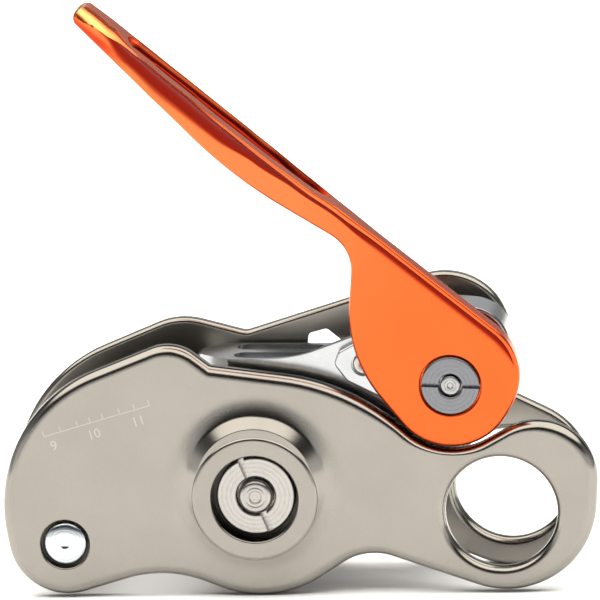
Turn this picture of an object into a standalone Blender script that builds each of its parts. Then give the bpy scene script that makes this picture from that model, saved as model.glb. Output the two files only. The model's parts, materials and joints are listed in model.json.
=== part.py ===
"""Assisted braking belay device: two forged side plates, a rope cam, a brake arm and a release handle.

Sizes are in millimetres. X runs along the plates, Y from the front plate to the back plate and Z up.
Outlines are written round the main axle. The whole device then stands on its two lowest lobes."""

import math

import bmesh
import bpy
from mathutils import Matrix, Vector

MM = 0.001

# Clearances
FIT = 0.3            # between pieces that touch or are pressed together
RUNNING = 0.5        # between the handle's hub and the recess it turns in
BEYOND = 1.0         # how far a cutter reaches past what it cuts
SUNK = 0.5           # how far a joined form reaches into what carries it
HAIR = 0.02          # keeps two faces of a joint from lying in one plane
WELD = 0.002         # points nearer than this are one point

# Facets
CHORD = 0.07         # how far an arc's facets may leave the true arc
TURNED_SIDES = 36
SMALL_SIDES = 20
EDGE_STEPS = 3
COVE_STEPS = 6
SHARP_FROM = 35.0    # degrees between two faces from which their edge is drawn sharp

# Side plates
ROPE_SPACE = 18.0
PLATE_THICKNESS = 4.0
OUTER_ROUNDING = 2.1
INNER_ROUNDING = 1.0
RECESS_ROUNDING = 0.45     # share of the rounding that is left in the handle's recess

# Carabiner eye
EYE_X = 45.9
EYE_Z = -3.3
EYE_BORE = 21.0
EYE_RIM_ROUNDING = 1.7

# Main axle
AXLE_RADIUS = 4.0
AXLE_END_RADIUS = 3.3
AXLE_END_EDGE = 0.9
AXLE_END_PROUD = 0.6
AXLE_HEAD_RADIUS = 7.4
AXLE_HEAD_THICKNESS = 2.4
AXLE_HEAD_EDGE = 0.5
DIMPLE_SHARE = 0.55        # of the radius of a shank's riveted-over end
DIMPLE_DEPTH = 0.25
NUT_RADIUS = 7.4
NUT_THICKNESS = 2.5
NUT_EDGE = 0.35
NUT_SLOT = 1.2
NUT_SLOT_DEPTH = 1.3
NUT_SLOT_ANGLE = 112.0
NUT_LEDGE = 1.6
COUNTERBORE_PLAY = 0.8
BOSS_HEIGHT = 3.0
BOSS_STEP = 0.3
BOSS_TOP_RADIUS = 11.8
BOSS_FOOT_RADIUS = 18.1
BOSS_FOOT_RISE = 0.9       # how far the foot's middle lies above the axle
BOSS_SKEW = 0.75           # under 1 the slope is steepest near the raised disc
WASHER_THICKNESS = 0.6
WASHER_WIDTH = 3.4
BUSH_WALL = 1.1

# Handle and its stud
PIVOT_X = 36.9
PIVOT_Z = 21.1
STUD_RADIUS = 3.0
STUD_END_RADIUS = 1.9
STUD_END_EDGE = 0.5
STUD_END_SET_BACK = 0.2
STUD_HEAD_RADIUS = 5.4
STUD_HEAD_THICKNESS = 2.0
STUD_HEAD_EDGE = 0.5
STUD_BUSH_WALL = 0.8
STUD_NUT_RADIUS = 5.5
STUD_NUT_THICKNESS = 2.2
STUD_NUT_SLOT = 1.0
STUD_NUT_SLOT_ANGLE = -2.0
HANDLE_HUB_RADIUS = 11.9
HANDLE_WEB = 3.8
HANDLE_LEDGE = 1.5
HANDLE_FRONT_ROUNDING = 1.3
HANDLE_BACK_ROUNDING = 0.8
HANDLE_BULGE = (1.3, 1.8, 11.7)
HANDLE_TIP = (-30.4, 91.1, 1.8)
HANDLE_UNDERSIDE = (51.0, 128.7, 86.2)
HANDLE_NECK = (11.0, 43.1, -7.7)
HANDLE_BELLY = (43.1, 34.3, 25.0)
HUB_LIP_STARTS = 10.0      # degrees round the hub
LIP_PROUD = 0.12
LIP_EDGE = 0.5
LIP_CORNER = 0.1
WING_THICKNESS = 2.7
WING_CORNER = 0.6
WING_CHAMFER = 0.5
WING_FILLET = 0.8
POCKET_FROM_TIP = 9.0
POCKET_LENGTH = 48.0
POCKET_FRONT_RIM = 3.1
POCKET_REAR_RIM = 1.1
POCKET_END_ROUNDING = 2.4
POCKET_DEPTH = 1.6

# The handle's top flange by distance from the tip: its dip, how far it overhangs the web's face,
# its rear edge, the height of its front face and the reach of the cove under it
FLANGE = (
    (0.0, 0.0, 0.3, -5.2, 0.25, 1.5),
    (5.0, 0.0, 1.0, -4.8, 0.25, 2.2),
    (11.0, 0.1, 2.9, -4.7, 0.25, 2.9),
    (30.0, 0.4, 3.7, -4.6, 0.4, 2.9),
    (42.0, 0.4, 3.7, -5.3, 0.6, 2.4),
    (51.0, 0.3, 3.2, -6.6, 0.8, 1.6),
    (60.0, 0.0, 1.6, -8.5, 1.0, 1.4),
    (70.0, 0.0, 0.8, -9.2, 0.9, 2.5),
)

# Latch rivet and rope post
POST_X = -36.2
POST_Z = -9.5
POST_RADIUS = 3.8
POST_BORE = 1.9
POST_EDGE = 0.5
LATCH_HEAD_RADIUS = 4.05
LATCH_HEAD_HEIGHT = 2.2
LATCH_HEAD_RIM = 0.25      # share of the head's height that its straight rim has
LATCH_DIMPLE_RADIUS = 0.9
LATCH_DIMPLE_DEPTH = 0.45
LATCH_SHANK_RADIUS = 2.2
LATCH_SHANK_END = 0.1      # how far the shank stands out behind the swinging plate
LATCH_RECESS_PLAY = 0.6
LATCH_RECESS_DEPTH = 2.4
LATCH_CHAMFER = 0.5

# Rope cam
CAM_RADIUS = 13.5
CAM_OFFSET = 2.2
CAM_GROOVE_RADIUS = 9.8
CAM_RIM = 2.2
CAM_EDGE = 0.4
CAM_STOP_RADIUS = 1.5
CAM_STOP_ANGLE = -52.0
CAM_STOP_FLOOR = 1.5       # metal left in the back plate behind the stop pin
CAM_NOTCH_DEPTH = 1.8      # along the axle
CAM_NOTCH_STEPS = 10
CAM_BACKWARD = 6.0
CAM_FORWARD = 22.0
CAM_SPRING_WIRE = 0.9
CAM_SPRING_RADIUS = 6.7
CAM_SPRING_TURNS = 2.5
CAM_SPRING_PITCH = 1.4
CAM_SPRING_START = 100.0
CAM_SPRING_LEG = 0.5

# Brake arm
ARM_HEAD = (
    (PIVOT_X, PIVOT_Z, 11.3),
    (PIVOT_X + 3.0, PIVOT_Z + 5.8, 7.8),
    (PIVOT_X - 0.6, PIVOT_Z + 2.7, 11.2),
)
ARM_HEAD_BACK = 3.0
ARM_HEAD_EDGE = 0.5
ARM_HEAD_STEP = 0.12
ARM_CHEEK = 2.3
TONGUE_WIDTH = 13.4
TONGUE_NOSE = (-10.6, 23.2, 1.4)
TONGUE_NOSE_LENGTH = 7.0
TONGUE_SHOULDER = (2.0, 51.6, -27.0)
SHOE_RADIUS = 21.6
TONGUE_END_X = 16.0
TONGUE_NOSE_POWER = 1.7
RIB_WIDTH = 1.2
CENTRE_RIB_WIDTH = 2.0
POCKETS_START_X = -4.6
POCKETS_END_X = 12.5
ARM_POCKET_DEPTH = 1.2
SIDE_PLATE_THICKNESS = 2.0
SIDE_PLATE_END = (-16.6, 3.1, 4.6)
SIDE_PLATE_SET_BACK = 2.9  # how far its hub end hides behind the handle's hub
SIDE_PLATE_EDGE = 0.35
SIDE_RIVET_SEAT = 0.8      # metal left behind the rivet's head
SIDE_RIVET_HEAD_RADIUS = 2.0
SIDE_RIVET_HEAD_EDGE = 0.3
SIDE_RIVET_SET_BACK = 0.2
SIDE_RIVET_SHANK_RADIUS = 1.3
ARM_SPRING_WIRE = 0.9
ARM_SPRING_RADIUS = 6.2
ARM_SPRING_TURNS = 3.25
ARM_SPRING_START = 150.0
ARM_SPRING_LEG = 6.0

# Window in the back plate
WINDOW = ((9.4, 20.2, 1.8), (15.6, 20.4, 1.8), (11.6, 25.0, 1.8), (9.6, 24.4, 1.8))

# Outlines: circles that a belt runs round, as (x, z, radius); a negative radius is a hollow
LEFT_LOBE = (-36.0, -8.3, 11.1)
LEFT_DIP = (-18.2, -37.7, -22.2)
AXLE_LOBE = (0.3, 1.5, 21.0)
RIGHT_DIP = (21.9, -22.1, -10.6)
LONG_SIDE = (-19.4, -2.8, 28.4)
BACK_EYE_LOBE = (45.9, -3.0, 15.9)

# Heights worked out from the sizes above
INNER_Y = ROPE_SPACE / 2
OUTER_Y = INNER_Y + PLATE_THICKNESS
BOSS_Y = OUTER_Y + BOSS_HEIGHT
COUNTERBORE_RADIUS = NUT_RADIUS + COUNTERBORE_PLAY
LEDGE_Y = INNER_Y + NUT_LEDGE
NUT_BACK_Y = LEDGE_Y + FIT
NUT_FRONT_Y = NUT_BACK_Y + NUT_THICKNESS
AXLE_BUSH_RADIUS = AXLE_RADIUS + FIT + BUSH_WALL
ARM_SPRING_PITCH = (INNER_Y - ARM_HEAD_BACK - 2 * FIT - ARM_SPRING_WIRE) / ARM_SPRING_TURNS
CAM_HALF_WIDTH = INNER_Y - WASHER_THICKNESS - 2 * FIT
CAM_NOTCH_Y = CAM_HALF_WIDTH - CAM_NOTCH_DEPTH
HANDLE_FACE_Y = INNER_Y + HANDLE_WEB
HANDLE_FRONT_Y = HANDLE_FACE_Y + max(row[2] for row in FLANGE)
HANDLE_LEDGE_Y = INNER_Y + HANDLE_LEDGE
STUD_NUT_BACK_Y = HANDLE_LEDGE_Y + FIT
STUD_NUT_FRONT_Y = STUD_NUT_BACK_Y + STUD_NUT_THICKNESS
STUD_BUSH_RADIUS = STUD_RADIUS + FIT + STUD_BUSH_WALL
SIDE_PLATE_HUB_RADIUS = HANDLE_HUB_RADIUS - SIDE_PLATE_SET_BACK
SIDE_PLATE_FRONT_Y = INNER_Y - FIT
SIDE_PLATE_BACK_Y = SIDE_PLATE_FRONT_Y - SIDE_PLATE_THICKNESS
ARM_FRONT_Y = SIDE_PLATE_BACK_Y - FIT
AXLE = (0.0, 0.0)
PIVOT = (PIVOT_X, PIVOT_Z)
POST = (POST_X, POST_Z)
EYE = (EYE_X, EYE_Z)
HANDLE_RECESS = (PIVOT_X, PIVOT_Z, -(HANDLE_HUB_RADIUS + RUNNING))

FRONT_OUTLINE = (
    (*LEFT_LOBE, 1.0),
    (*LEFT_DIP, 1.0),
    (*AXLE_LOBE, 1.0),
    (*RIGHT_DIP, 1.0),
    (46.6, -1.2, 17.2, 1.0),
    (52.9, 2.9, 11.2, 1.0),
    (*HANDLE_RECESS, RECESS_ROUNDING),
    (0.4, -17.4, 40.5, 1.0),
    (-8.0, 25.0, -0.5, 1.0),
    (-16.2, 20.3, 8.2, 1.0),
    (*LONG_SIDE, 1.0),
)
BACK_OUTLINE = (
    (*LEFT_LOBE, 1.0),
    (*LEFT_DIP, 1.0),
    (*AXLE_LOBE, 1.0),
    (*RIGHT_DIP, 1.0),
    (*BACK_EYE_LOBE, 1.0),
    (48.8, 17.6, -3.9, 1.0),
    (34.1, 25.2, 12.5, 1.0),
    (-3.6, 28.8, -2.5, 1.0),
    (-15.1, 16.1, 12.7, 1.0),
    (*LONG_SIDE, 1.0),
)
HANDLE_OUTLINE = (
    (PIVOT_X, PIVOT_Z, HANDLE_HUB_RADIUS, 1.0),
    (PIVOT_X + HANDLE_BULGE[0], PIVOT_Z + HANDLE_BULGE[1], HANDLE_BULGE[2], 1.0),
    (*HANDLE_TIP, 1.0),
    (*HANDLE_UNDERSIDE, 1.0),
    (*HANDLE_NECK, 1.0),
    (*HANDLE_BELLY, 1.0),
)

# Colours, roughness and metallic value of each finish
FINISHES = {
    "satin_plate": ((0.36, 0.34, 0.31, 1.0), 0.30, 1.0),
    "orange_anodised": ((1.0, 0.14, 0.03, 1.0), 0.28, 0.6),
    "turned_steel": ((0.42, 0.41, 0.40, 1.0), 0.32, 1.0),
    "bright_cast": ((0.66, 0.68, 0.68, 1.0), 0.25, 1.0),
    "zinc": ((0.72, 0.76, 0.80, 1.0), 0.24, 1.0),
    "bronze": ((0.50, 0.36, 0.20, 1.0), 0.38, 1.0),
    "spring_steel": ((0.30, 0.30, 0.31, 1.0), 0.30, 1.0),
}


def arc_steps(radius, turn):
    """How many straight facets stand for an arc of this radius and turn."""
    widest = 2 * math.acos(max(0.0, 1 - CHORD / max(abs(radius), CHORD)))
    return max(2, math.ceil(abs(turn) / widest))


def tangent_angles(circles):
    """The direction, from each circle's centre, in which the belt leaves for the next circle."""
    angles = []
    for first, second in zip(circles, circles[1:] + circles[:1]):
        run_x = second[0] - first[0]
        run_z = second[1] - first[1]
        lean = (first[2] - second[2]) / math.hypot(run_x, run_z)
        angles.append(math.atan2(run_z, run_x) - math.acos(max(-1.0, min(1.0, lean))))
    return angles


def belt(circles):
    """An outline as rays (x, z, radius, angle, rounding), anticlockwise as seen from the front."""
    leaving = tangent_angles(circles)
    rays = []
    for index, (x, z, radius, rounding) in enumerate(circles):
        before = circles[index - 1][3]
        after = circles[(index + 1) % len(circles)][3]
        turn = (leaving[index] - leaving[index - 1]) % math.tau
        if radius < 0:
            turn -= math.tau
        if abs(turn) > math.tau - 0.1:
            turn = 0.0
        steps = arc_steps(radius, turn)
        for step in range(steps + 1):
            part = step / steps
            near = before if part < 0.5 else after
            blend = abs(part - 0.5)
            edge = rounding * (1 - blend) + near * blend
            rays.append((x, z, radius, leaving[index - 1] + part * turn, edge))
    return rays


def at_inset(ray, inset):
    """The outline's point on this ray, moved inwards."""
    x, z, radius, angle, rounding = ray
    reach = radius - inset * rounding
    return x + reach * math.cos(angle), z + reach * math.sin(angle)


def rounded_sides(front, back, front_rounding, back_rounding):
    """The rings (inset, y) of a plate whose long edges are rounded."""
    rings = []
    for step in range(EDGE_STEPS + 1):
        angle = math.pi / 2 * step / EDGE_STEPS
        inset = front_rounding * (1 - math.sin(angle))
        rings.append((inset, front + front_rounding * (1 - math.cos(angle))))
    for step in range(EDGE_STEPS + 1):
        angle = math.pi / 2 * (1 - step / EDGE_STEPS)
        rings.append((back_rounding * (1 - math.sin(angle)), back - back_rounding * (1 - math.cos(angle))))
    return rings


def finish_mesh(mesh, name):
    """Turns a bmesh of millimetre coordinates into an object, with its faces facing out."""
    bmesh.ops.remove_doubles(mesh, verts=mesh.verts, dist=WELD)
    bmesh.ops.dissolve_degenerate(mesh, dist=WELD, edges=mesh.edges)
    bmesh.ops.recalc_face_normals(mesh, faces=mesh.faces)
    bmesh.ops.scale(mesh, vec=(MM, MM, MM), verts=mesh.verts)
    data = bpy.data.meshes.new(name)
    mesh.to_mesh(data)
    mesh.free()
    made = bpy.data.objects.new(name, data)
    bpy.context.scene.collection.objects.link(made)
    return made


def skin(name, rings, closed=False):
    """A solid through rings of points with as many points each; the end rings are filled unless closed."""
    mesh = bmesh.new()
    rows = [[mesh.verts.new(point) for point in ring] for ring in rings]
    pairs = list(zip(rows, rows[1:]))
    if closed:
        pairs.append((rows[-1], rows[0]))
    else:
        mesh.faces.new(rows[0])
        mesh.faces.new(reversed(rows[-1]))
    for first, second in pairs:
        for index in range(len(first)):
            mesh.faces.new((first[index - 1], second[index - 1], second[index], first[index]))
    return finish_mesh(mesh, name)


def plate(name, circles, front, back, front_rounding, back_rounding):
    """A flat plate with this outline, upright in the XZ plane."""
    rays = belt(circles)
    rings = []
    for inset, y in rounded_sides(front, back, front_rounding, back_rounding):
        ring = []
        for ray in rays:
            x, z = at_inset(ray, inset)
            ring.append((x, y, z))
        rings.append(ring)
    return skin(name, rings)


def prism(name, circles, front, back):
    """A plain extruded outline."""
    plain = [(*circle, 1.0) for circle in circles]
    rays = belt(tuple(plain))
    rings = []
    for y in (front, back):
        ring = []
        for ray in rays:
            x, z = at_inset(ray, 0.0)
            ring.append((x, y, z))
        rings.append(ring)
    return skin(name, rings)


def turned(name, profile, centre=AXLE, sides=TURNED_SIDES):
    """A profile of (radius, y) turned about the Y axis through centre, with Blender's spin."""
    mesh = bmesh.new()
    points = [mesh.verts.new((radius, y, 0.0)) for radius, y in profile]
    edges = [mesh.edges.new(pair) for pair in zip(points, points[1:])]
    if profile[0][0] > 0:
        edges.append(mesh.edges.new((points[-1], points[0])))
    bmesh.ops.spin(
        mesh,
        geom=points + edges,
        cent=(0.0, 0.0, 0.0),
        axis=(0.0, 1.0, 0.0),
        angle=math.tau,
        steps=sides,
        use_merge=True,
    )
    bmesh.ops.translate(mesh, vec=(centre[0], 0.0, centre[1]), verts=mesh.verts)
    return finish_mesh(mesh, name)


def ring(name, inner, outer, front, back, centre=AXLE, sides=TURNED_SIDES):
    """A plain bush, washer or hollow cutter."""
    return turned(name, ((inner, front), (outer, front), (outer, back), (inner, back)), centre, sides)


def disc(name, radius, front, back, centre=AXLE, sides=TURNED_SIDES):
    """A plain cylinder."""
    return turned(name, ((0.0, front), (radius, front), (radius, back), (0.0, back)), centre, sides)


def block(name, size, place, turn=Matrix.Identity(3)):
    """A box cutter or a plain bar, turned about its own middle."""
    mesh = bmesh.new()
    bmesh.ops.create_cube(mesh, size=1.0)
    bmesh.ops.scale(mesh, vec=size, verts=mesh.verts)
    bmesh.ops.rotate(mesh, cent=(0.0, 0.0, 0.0), matrix=turn, verts=mesh.verts)
    bmesh.ops.translate(mesh, vec=place, verts=mesh.verts)
    return finish_mesh(mesh, name)


def arc_profile(centre_radius, centre_y, size, start, end, steps=EDGE_STEPS):
    """Profile points on a quarter arc, from one angle to another in degrees."""
    points = []
    for step in range(steps + 1):
        angle = math.radians(start + (end - start) * step / steps)
        points.append((centre_radius + size * math.cos(angle), centre_y + size * math.sin(angle)))
    return points


def combine(target, tool, operation):
    """Cuts, joins or intersects target with tool, keeps the result and removes the tool."""
    modifier = target.modifiers.new(operation.lower(), "BOOLEAN")
    modifier.operation = operation
    modifier.object = tool
    bpy.context.view_layer.update()
    graph = bpy.context.evaluated_depsgraph_get()
    result = bpy.data.meshes.new_from_object(target.evaluated_get(graph), depsgraph=graph)
    welded = bmesh.new()
    welded.from_mesh(result)
    bmesh.ops.remove_doubles(welded, verts=welded.verts, dist=WELD * MM)
    welded.to_mesh(result)
    welded.free()
    target.modifiers.clear()
    target.data = result
    bpy.data.objects.remove(tool)
    return target


def cut(target, tool):
    return combine(target, tool, "DIFFERENCE")


def join(target, tool):
    return combine(target, tool, "UNION")


def y_turn(degrees):
    """A rotation about Y that turns anticlockwise as seen from the front."""
    return Matrix.Rotation(math.radians(-degrees), 3, "Y")


def flared_hole(radius, rounding, front, back):
    """A cutter for a round hole whose two rims are rounded."""
    rim = rounding - HAIR
    wide = radius + rounding
    profile = [(0.0, front - BEYOND), (wide, front - BEYOND)]
    profile += arc_profile(wide, front + rim, rounding, 270, 180)
    profile += arc_profile(wide, back - rim, rounding, 180, 90)
    profile += [(wide, back + BEYOND), (0.0, back + BEYOND)]
    return profile


def boss(face, way):
    """The boss round the main axle: a raised disc with a small step, then a long slope out to its foot."""
    step_y = face + way * (BOSS_HEIGHT - BOSS_STEP)
    width = BOSS_FOOT_RADIUS - BOSS_TOP_RADIUS
    levels = [
        (BOSS_TOP_RADIUS - BOSS_STEP, face + way * BOSS_HEIGHT, 0.0),
        (BOSS_TOP_RADIUS, step_y, 0.0),
    ]
    steps = EDGE_STEPS * 3
    for step in range(1, steps + 1):
        part = step / steps
        drop = (1 - math.cos(math.pi * part ** BOSS_SKEW)) / 2
        y = step_y + (face - way * HAIR - step_y) * drop
        levels.append((BOSS_TOP_RADIUS + width * part, y, BOSS_FOOT_RISE * part))
    levels.append((BOSS_FOOT_RADIUS, face - way * SUNK, BOSS_FOOT_RISE))
    rings = []
    for radius, y, rise in levels:
        circle = []
        for side in range(2 * TURNED_SIDES):
            angle = math.pi * side / TURNED_SIDES
            circle.append((radius * math.cos(angle), y, rise + radius * math.sin(angle)))
        rings.append(circle)
    return skin("boss", rings)


def slotted_nut(name, inner, outer, front, back, slot, slot_angle, centre):
    """A round nut with a slot across its front face, as a pin spanner takes."""
    profile = (
        (inner, front + NUT_EDGE),
        (inner + NUT_EDGE, front),
        (outer - NUT_EDGE, front),
        (outer, front + NUT_EDGE),
        (outer, back),
        (inner, back),
    )
    nut = turned(name, profile, centre)
    place = (centre[0], front, centre[1])
    size = (2 * (outer + BEYOND), 2 * NUT_SLOT_DEPTH, slot)
    return cut(nut, block("slot", size, place, y_turn(slot_angle)))


def peened_end(radius, front, edge):
    """The front end of a riveted-over shank: a rounded edge and a shallow dimple."""
    floor = radius * DIMPLE_SHARE
    profile = [(0.0, front + DIMPLE_DEPTH), (floor, front + DIMPLE_DEPTH), (floor + DIMPLE_DEPTH, front)]
    return profile + arc_profile(radius - edge, front + edge, edge, 270, 360)


def front_plate():
    """The side plate that swings open, with its boss, counterbore, latch recess and eye."""
    made = plate("front_plate", FRONT_OUTLINE, -OUTER_Y, -INNER_Y, OUTER_ROUNDING, INNER_ROUNDING)
    join(made, boss(-OUTER_Y, -1))
    cut(made, disc("counterbore", COUNTERBORE_RADIUS, -BOSS_Y - BEYOND, -LEDGE_Y))
    cut(made, disc("bore", AXLE_BUSH_RADIUS + FIT, -BOSS_Y - BEYOND, 0.0))
    cut(made, turned("eye", flared_hole(EYE_BORE / 2, EYE_RIM_ROUNDING, -OUTER_Y, -INNER_Y), EYE))
    recess = LATCH_HEAD_RADIUS + LATCH_RECESS_PLAY
    cutter = (
        (0.0, -OUTER_Y - BEYOND),
        (recess + LATCH_CHAMFER + BEYOND, -OUTER_Y - BEYOND),
        (recess, -OUTER_Y + LATCH_CHAMFER),
        (recess, -OUTER_Y + LATCH_RECESS_DEPTH),
        (LATCH_SHANK_RADIUS + FIT, -OUTER_Y + LATCH_RECESS_DEPTH),
        (LATCH_SHANK_RADIUS + FIT, 0.0),
        (0.0, 0.0),
    )
    return cut(made, turned("latch_recess", cutter, POST))


def back_plate():
    """The fixed side plate, which carries the axle, the handle's stud, the rope post and the stops."""
    made = plate("back_plate", BACK_OUTLINE, INNER_Y, OUTER_Y, INNER_ROUNDING, OUTER_ROUNDING)
    join(made, boss(OUTER_Y, 1))
    cut(made, disc("counterbore", COUNTERBORE_RADIUS, LEDGE_Y, BOSS_Y + BEYOND))
    cut(made, disc("bore", AXLE_RADIUS + FIT, 0.0, BOSS_Y + BEYOND))
    cut(made, turned("eye", flared_hole(EYE_BORE / 2, EYE_RIM_ROUNDING, INNER_Y, OUTER_Y), EYE))
    cut(made, prism("window", WINDOW, 0.0, OUTER_Y + BEYOND))
    past = OUTER_Y + BEYOND
    cut(made, disc("stud_seat", STUD_HEAD_RADIUS + FIT, OUTER_Y - STUD_HEAD_THICKNESS, past, PIVOT))
    cut(made, disc("stud_bore", STUD_RADIUS + FIT, 0.0, past, PIVOT))
    seat = OUTER_Y - LATCH_RECESS_DEPTH
    cut(made, disc("post_seat", LATCH_HEAD_RADIUS + LATCH_RECESS_PLAY, seat, past, POST))
    cut(made, disc("post_bore", LATCH_SHANK_RADIUS + FIT, 0.0, past, POST))
    floor = OUTER_Y - CAM_STOP_FLOOR
    return cut(made, disc("stop_bore", CAM_STOP_RADIUS + FIT, 0.0, floor, cam_stop_place(), SMALL_SIDES))


def main_axle():
    """The turned pin that everything in the middle rides on, riveted over in front of its nut."""
    profile = peened_end(AXLE_END_RADIUS, -NUT_FRONT_Y - AXLE_END_PROUD, AXLE_END_EDGE)
    head = LEDGE_Y + AXLE_HEAD_THICKNESS
    profile += [
        (AXLE_END_RADIUS, -NUT_BACK_Y + FIT),
        (AXLE_RADIUS, -NUT_BACK_Y + FIT),
        (AXLE_RADIUS, LEDGE_Y + FIT),
        (AXLE_HEAD_RADIUS, LEDGE_Y + FIT),
        (AXLE_HEAD_RADIUS, head - AXLE_HEAD_EDGE),
        (AXLE_HEAD_RADIUS - AXLE_HEAD_EDGE, head),
        (0.0, head),
    ]
    return turned("main_axle", profile)


def main_axle_nut():
    return slotted_nut(
        "main_axle_nut", AXLE_END_RADIUS + FIT, NUT_RADIUS, -NUT_FRONT_Y, -NUT_BACK_Y,
        NUT_SLOT, NUT_SLOT_ANGLE, AXLE,
    )


def axle_washer(name, middle):
    """A thrust washer between the cam and a side plate."""
    inner = AXLE_RADIUS + FIT
    half = WASHER_THICKNESS / 2
    return ring(name, inner, inner + WASHER_WIDTH, middle - half, middle + half)


def plate_bush():
    """The bush pressed into the swinging plate, between the nut's ledge and the washer."""
    return ring("plate_bush", AXLE_RADIUS + FIT, AXLE_BUSH_RADIUS, -LEDGE_Y, -INNER_Y)


def cam_stop_place():
    """Where the stop pin stands: in a notch of the cam's rear rim."""
    reach = CAM_RADIUS - CAM_STOP_RADIUS - FIT
    angle = math.radians(CAM_STOP_ANGLE)
    return reach * math.cos(angle), reach * math.sin(angle)


def rope_cam():
    """The grooved sheave that carries the rope. Its bore is off centre, and its rear rim is notched."""
    centre = (-CAM_OFFSET, 0.0)
    groove_edge = CAM_HALF_WIDTH - CAM_RIM
    depth = CAM_RADIUS - CAM_GROOVE_RADIUS
    groove = []
    steps = EDGE_STEPS * 2
    for step in range(steps + 1):
        angle = math.pi * step / steps
        groove.append((CAM_RADIUS - depth * math.sin(angle), -groove_edge * math.cos(angle)))
    side = CAM_HALF_WIDTH
    profile = [(0.0, -side), (CAM_RADIUS - CAM_EDGE, -side), (CAM_RADIUS, -side + CAM_EDGE)]
    profile += groove
    profile += [(CAM_RADIUS, side - CAM_EDGE), (CAM_RADIUS - CAM_EDGE, side), (0.0, side)]
    made = turned("rope_cam", profile, centre)
    cut(made, disc("bore", AXLE_BUSH_RADIUS + FIT, -side - BEYOND, side + BEYOND))
    recess = CAM_SPRING_RADIUS + CAM_SPRING_WIRE / 2 + 2 * FIT
    cut(made, disc("spring_recess", recess, cam_recess_y(), side + BEYOND))
    return cut(made, stop_notch())


def cam_recess_y():
    """How deep the spring's recess reaches into the cam from behind."""
    return CAM_HALF_WIDTH - CAM_SPRING_TURNS * CAM_SPRING_PITCH - CAM_SPRING_WIRE - 2 * FIT


def stop_notch():
    """A curved notch in the cam's rear rim, as long as the cam's travel and the stop pin need."""
    stop_x, stop_z = cam_stop_place()
    reach = math.hypot(stop_x, stop_z)
    half_pin = math.degrees((CAM_STOP_RADIUS + 2 * FIT) / reach)
    start = CAM_STOP_ANGLE - CAM_BACKWARD - half_pin
    end = CAM_STOP_ANGLE + CAM_FORWARD + half_pin
    inner = reach - CAM_STOP_RADIUS - 2 * FIT
    outer = CAM_RADIUS + CAM_OFFSET + BEYOND
    corners = []
    for step in range(CAM_NOTCH_STEPS + 1):
        angle = math.radians(start + (end - start) * step / CAM_NOTCH_STEPS)
        corners.append((inner * math.cos(angle), inner * math.sin(angle)))
    for step in range(CAM_NOTCH_STEPS + 1):
        angle = math.radians(end + (start - end) * step / CAM_NOTCH_STEPS)
        corners.append((outer * math.cos(angle), outer * math.sin(angle)))
    return skin("notch", [[(x, y, z) for x, z in corners] for y in (CAM_NOTCH_Y, CAM_HALF_WIDTH + BEYOND)])


def cam_bush():
    """The bush pressed into the cam, shorter than the bore by the spring's recess."""
    return ring("cam_bush", AXLE_RADIUS + FIT, AXLE_BUSH_RADIUS, -CAM_HALF_WIDTH, cam_recess_y() - FIT)


def cam_stop_pin():
    end = OUTER_Y - CAM_STOP_FLOOR - FIT
    return disc("cam_stop_pin", CAM_STOP_RADIUS, CAM_NOTCH_Y + FIT, end, cam_stop_place(), SMALL_SIDES)


def coil(name, centre, radius, wire, turns, pitch, start_y, start_angle, leg):
    """A torsion spring as one unbroken tube: a helix from a formula, with two straight legs."""
    points_in_turn = 10
    count = round(turns * points_in_turn)
    path = []
    for index in range(count + 1):
        angle = math.radians(start_angle) + math.tau * turns * index / count
        y = start_y + pitch * turns * index / count
        path.append(Vector((centre[0] + radius * math.cos(angle), y, centre[1] + radius * math.sin(angle))))
    first_way = Vector((math.sin(math.radians(start_angle)), 0.0, -math.cos(math.radians(start_angle))))
    end_angle = math.radians(start_angle) + math.tau * turns
    last_way = Vector((-math.sin(end_angle), 0.0, math.cos(end_angle)))
    path.insert(0, path[0] + first_way * leg)
    path.append(path[-1] + last_way * leg)
    curve = bpy.data.curves.new(name, "CURVE")
    curve.dimensions = "3D"
    curve.bevel_depth = wire / 2 * MM
    curve.bevel_resolution = 1
    curve.use_fill_caps = True
    spline = curve.splines.new("POLY")
    spline.points.add(len(path) - 1)
    for point, place in zip(spline.points, path):
        point.co = (*(place * MM), 1.0)
    made = bpy.data.objects.new(name, curve)
    bpy.context.scene.collection.objects.link(made)
    print(f"{name}: least gap between turns {pitch - wire:.2f} mm")
    return made


def cam_spring():
    start = cam_recess_y() + CAM_SPRING_WIRE / 2 + FIT
    return coil(
        "cam_spring", AXLE, CAM_SPRING_RADIUS, CAM_SPRING_WIRE,
        CAM_SPRING_TURNS, CAM_SPRING_PITCH, start, CAM_SPRING_START, CAM_SPRING_LEG,
    )


def arm_spring():
    start = ARM_HEAD_BACK + ARM_SPRING_WIRE / 2 + FIT
    return coil(
        "arm_spring", PIVOT, ARM_SPRING_RADIUS, ARM_SPRING_WIRE,
        ARM_SPRING_TURNS, ARM_SPRING_PITCH, start, ARM_SPRING_START, ARM_SPRING_LEG,
    )


def arm_outline():
    """The arm's side view: nose, shoe over the rope, disc and the hollow of its shoulder."""
    return (
        TONGUE_NOSE,
        (*AXLE, -SHOE_RADIUS),
        *[(x, z, radius - ARM_HEAD_STEP) for x, z, radius in ARM_HEAD],
        TONGUE_SHOULDER,
    )


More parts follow.
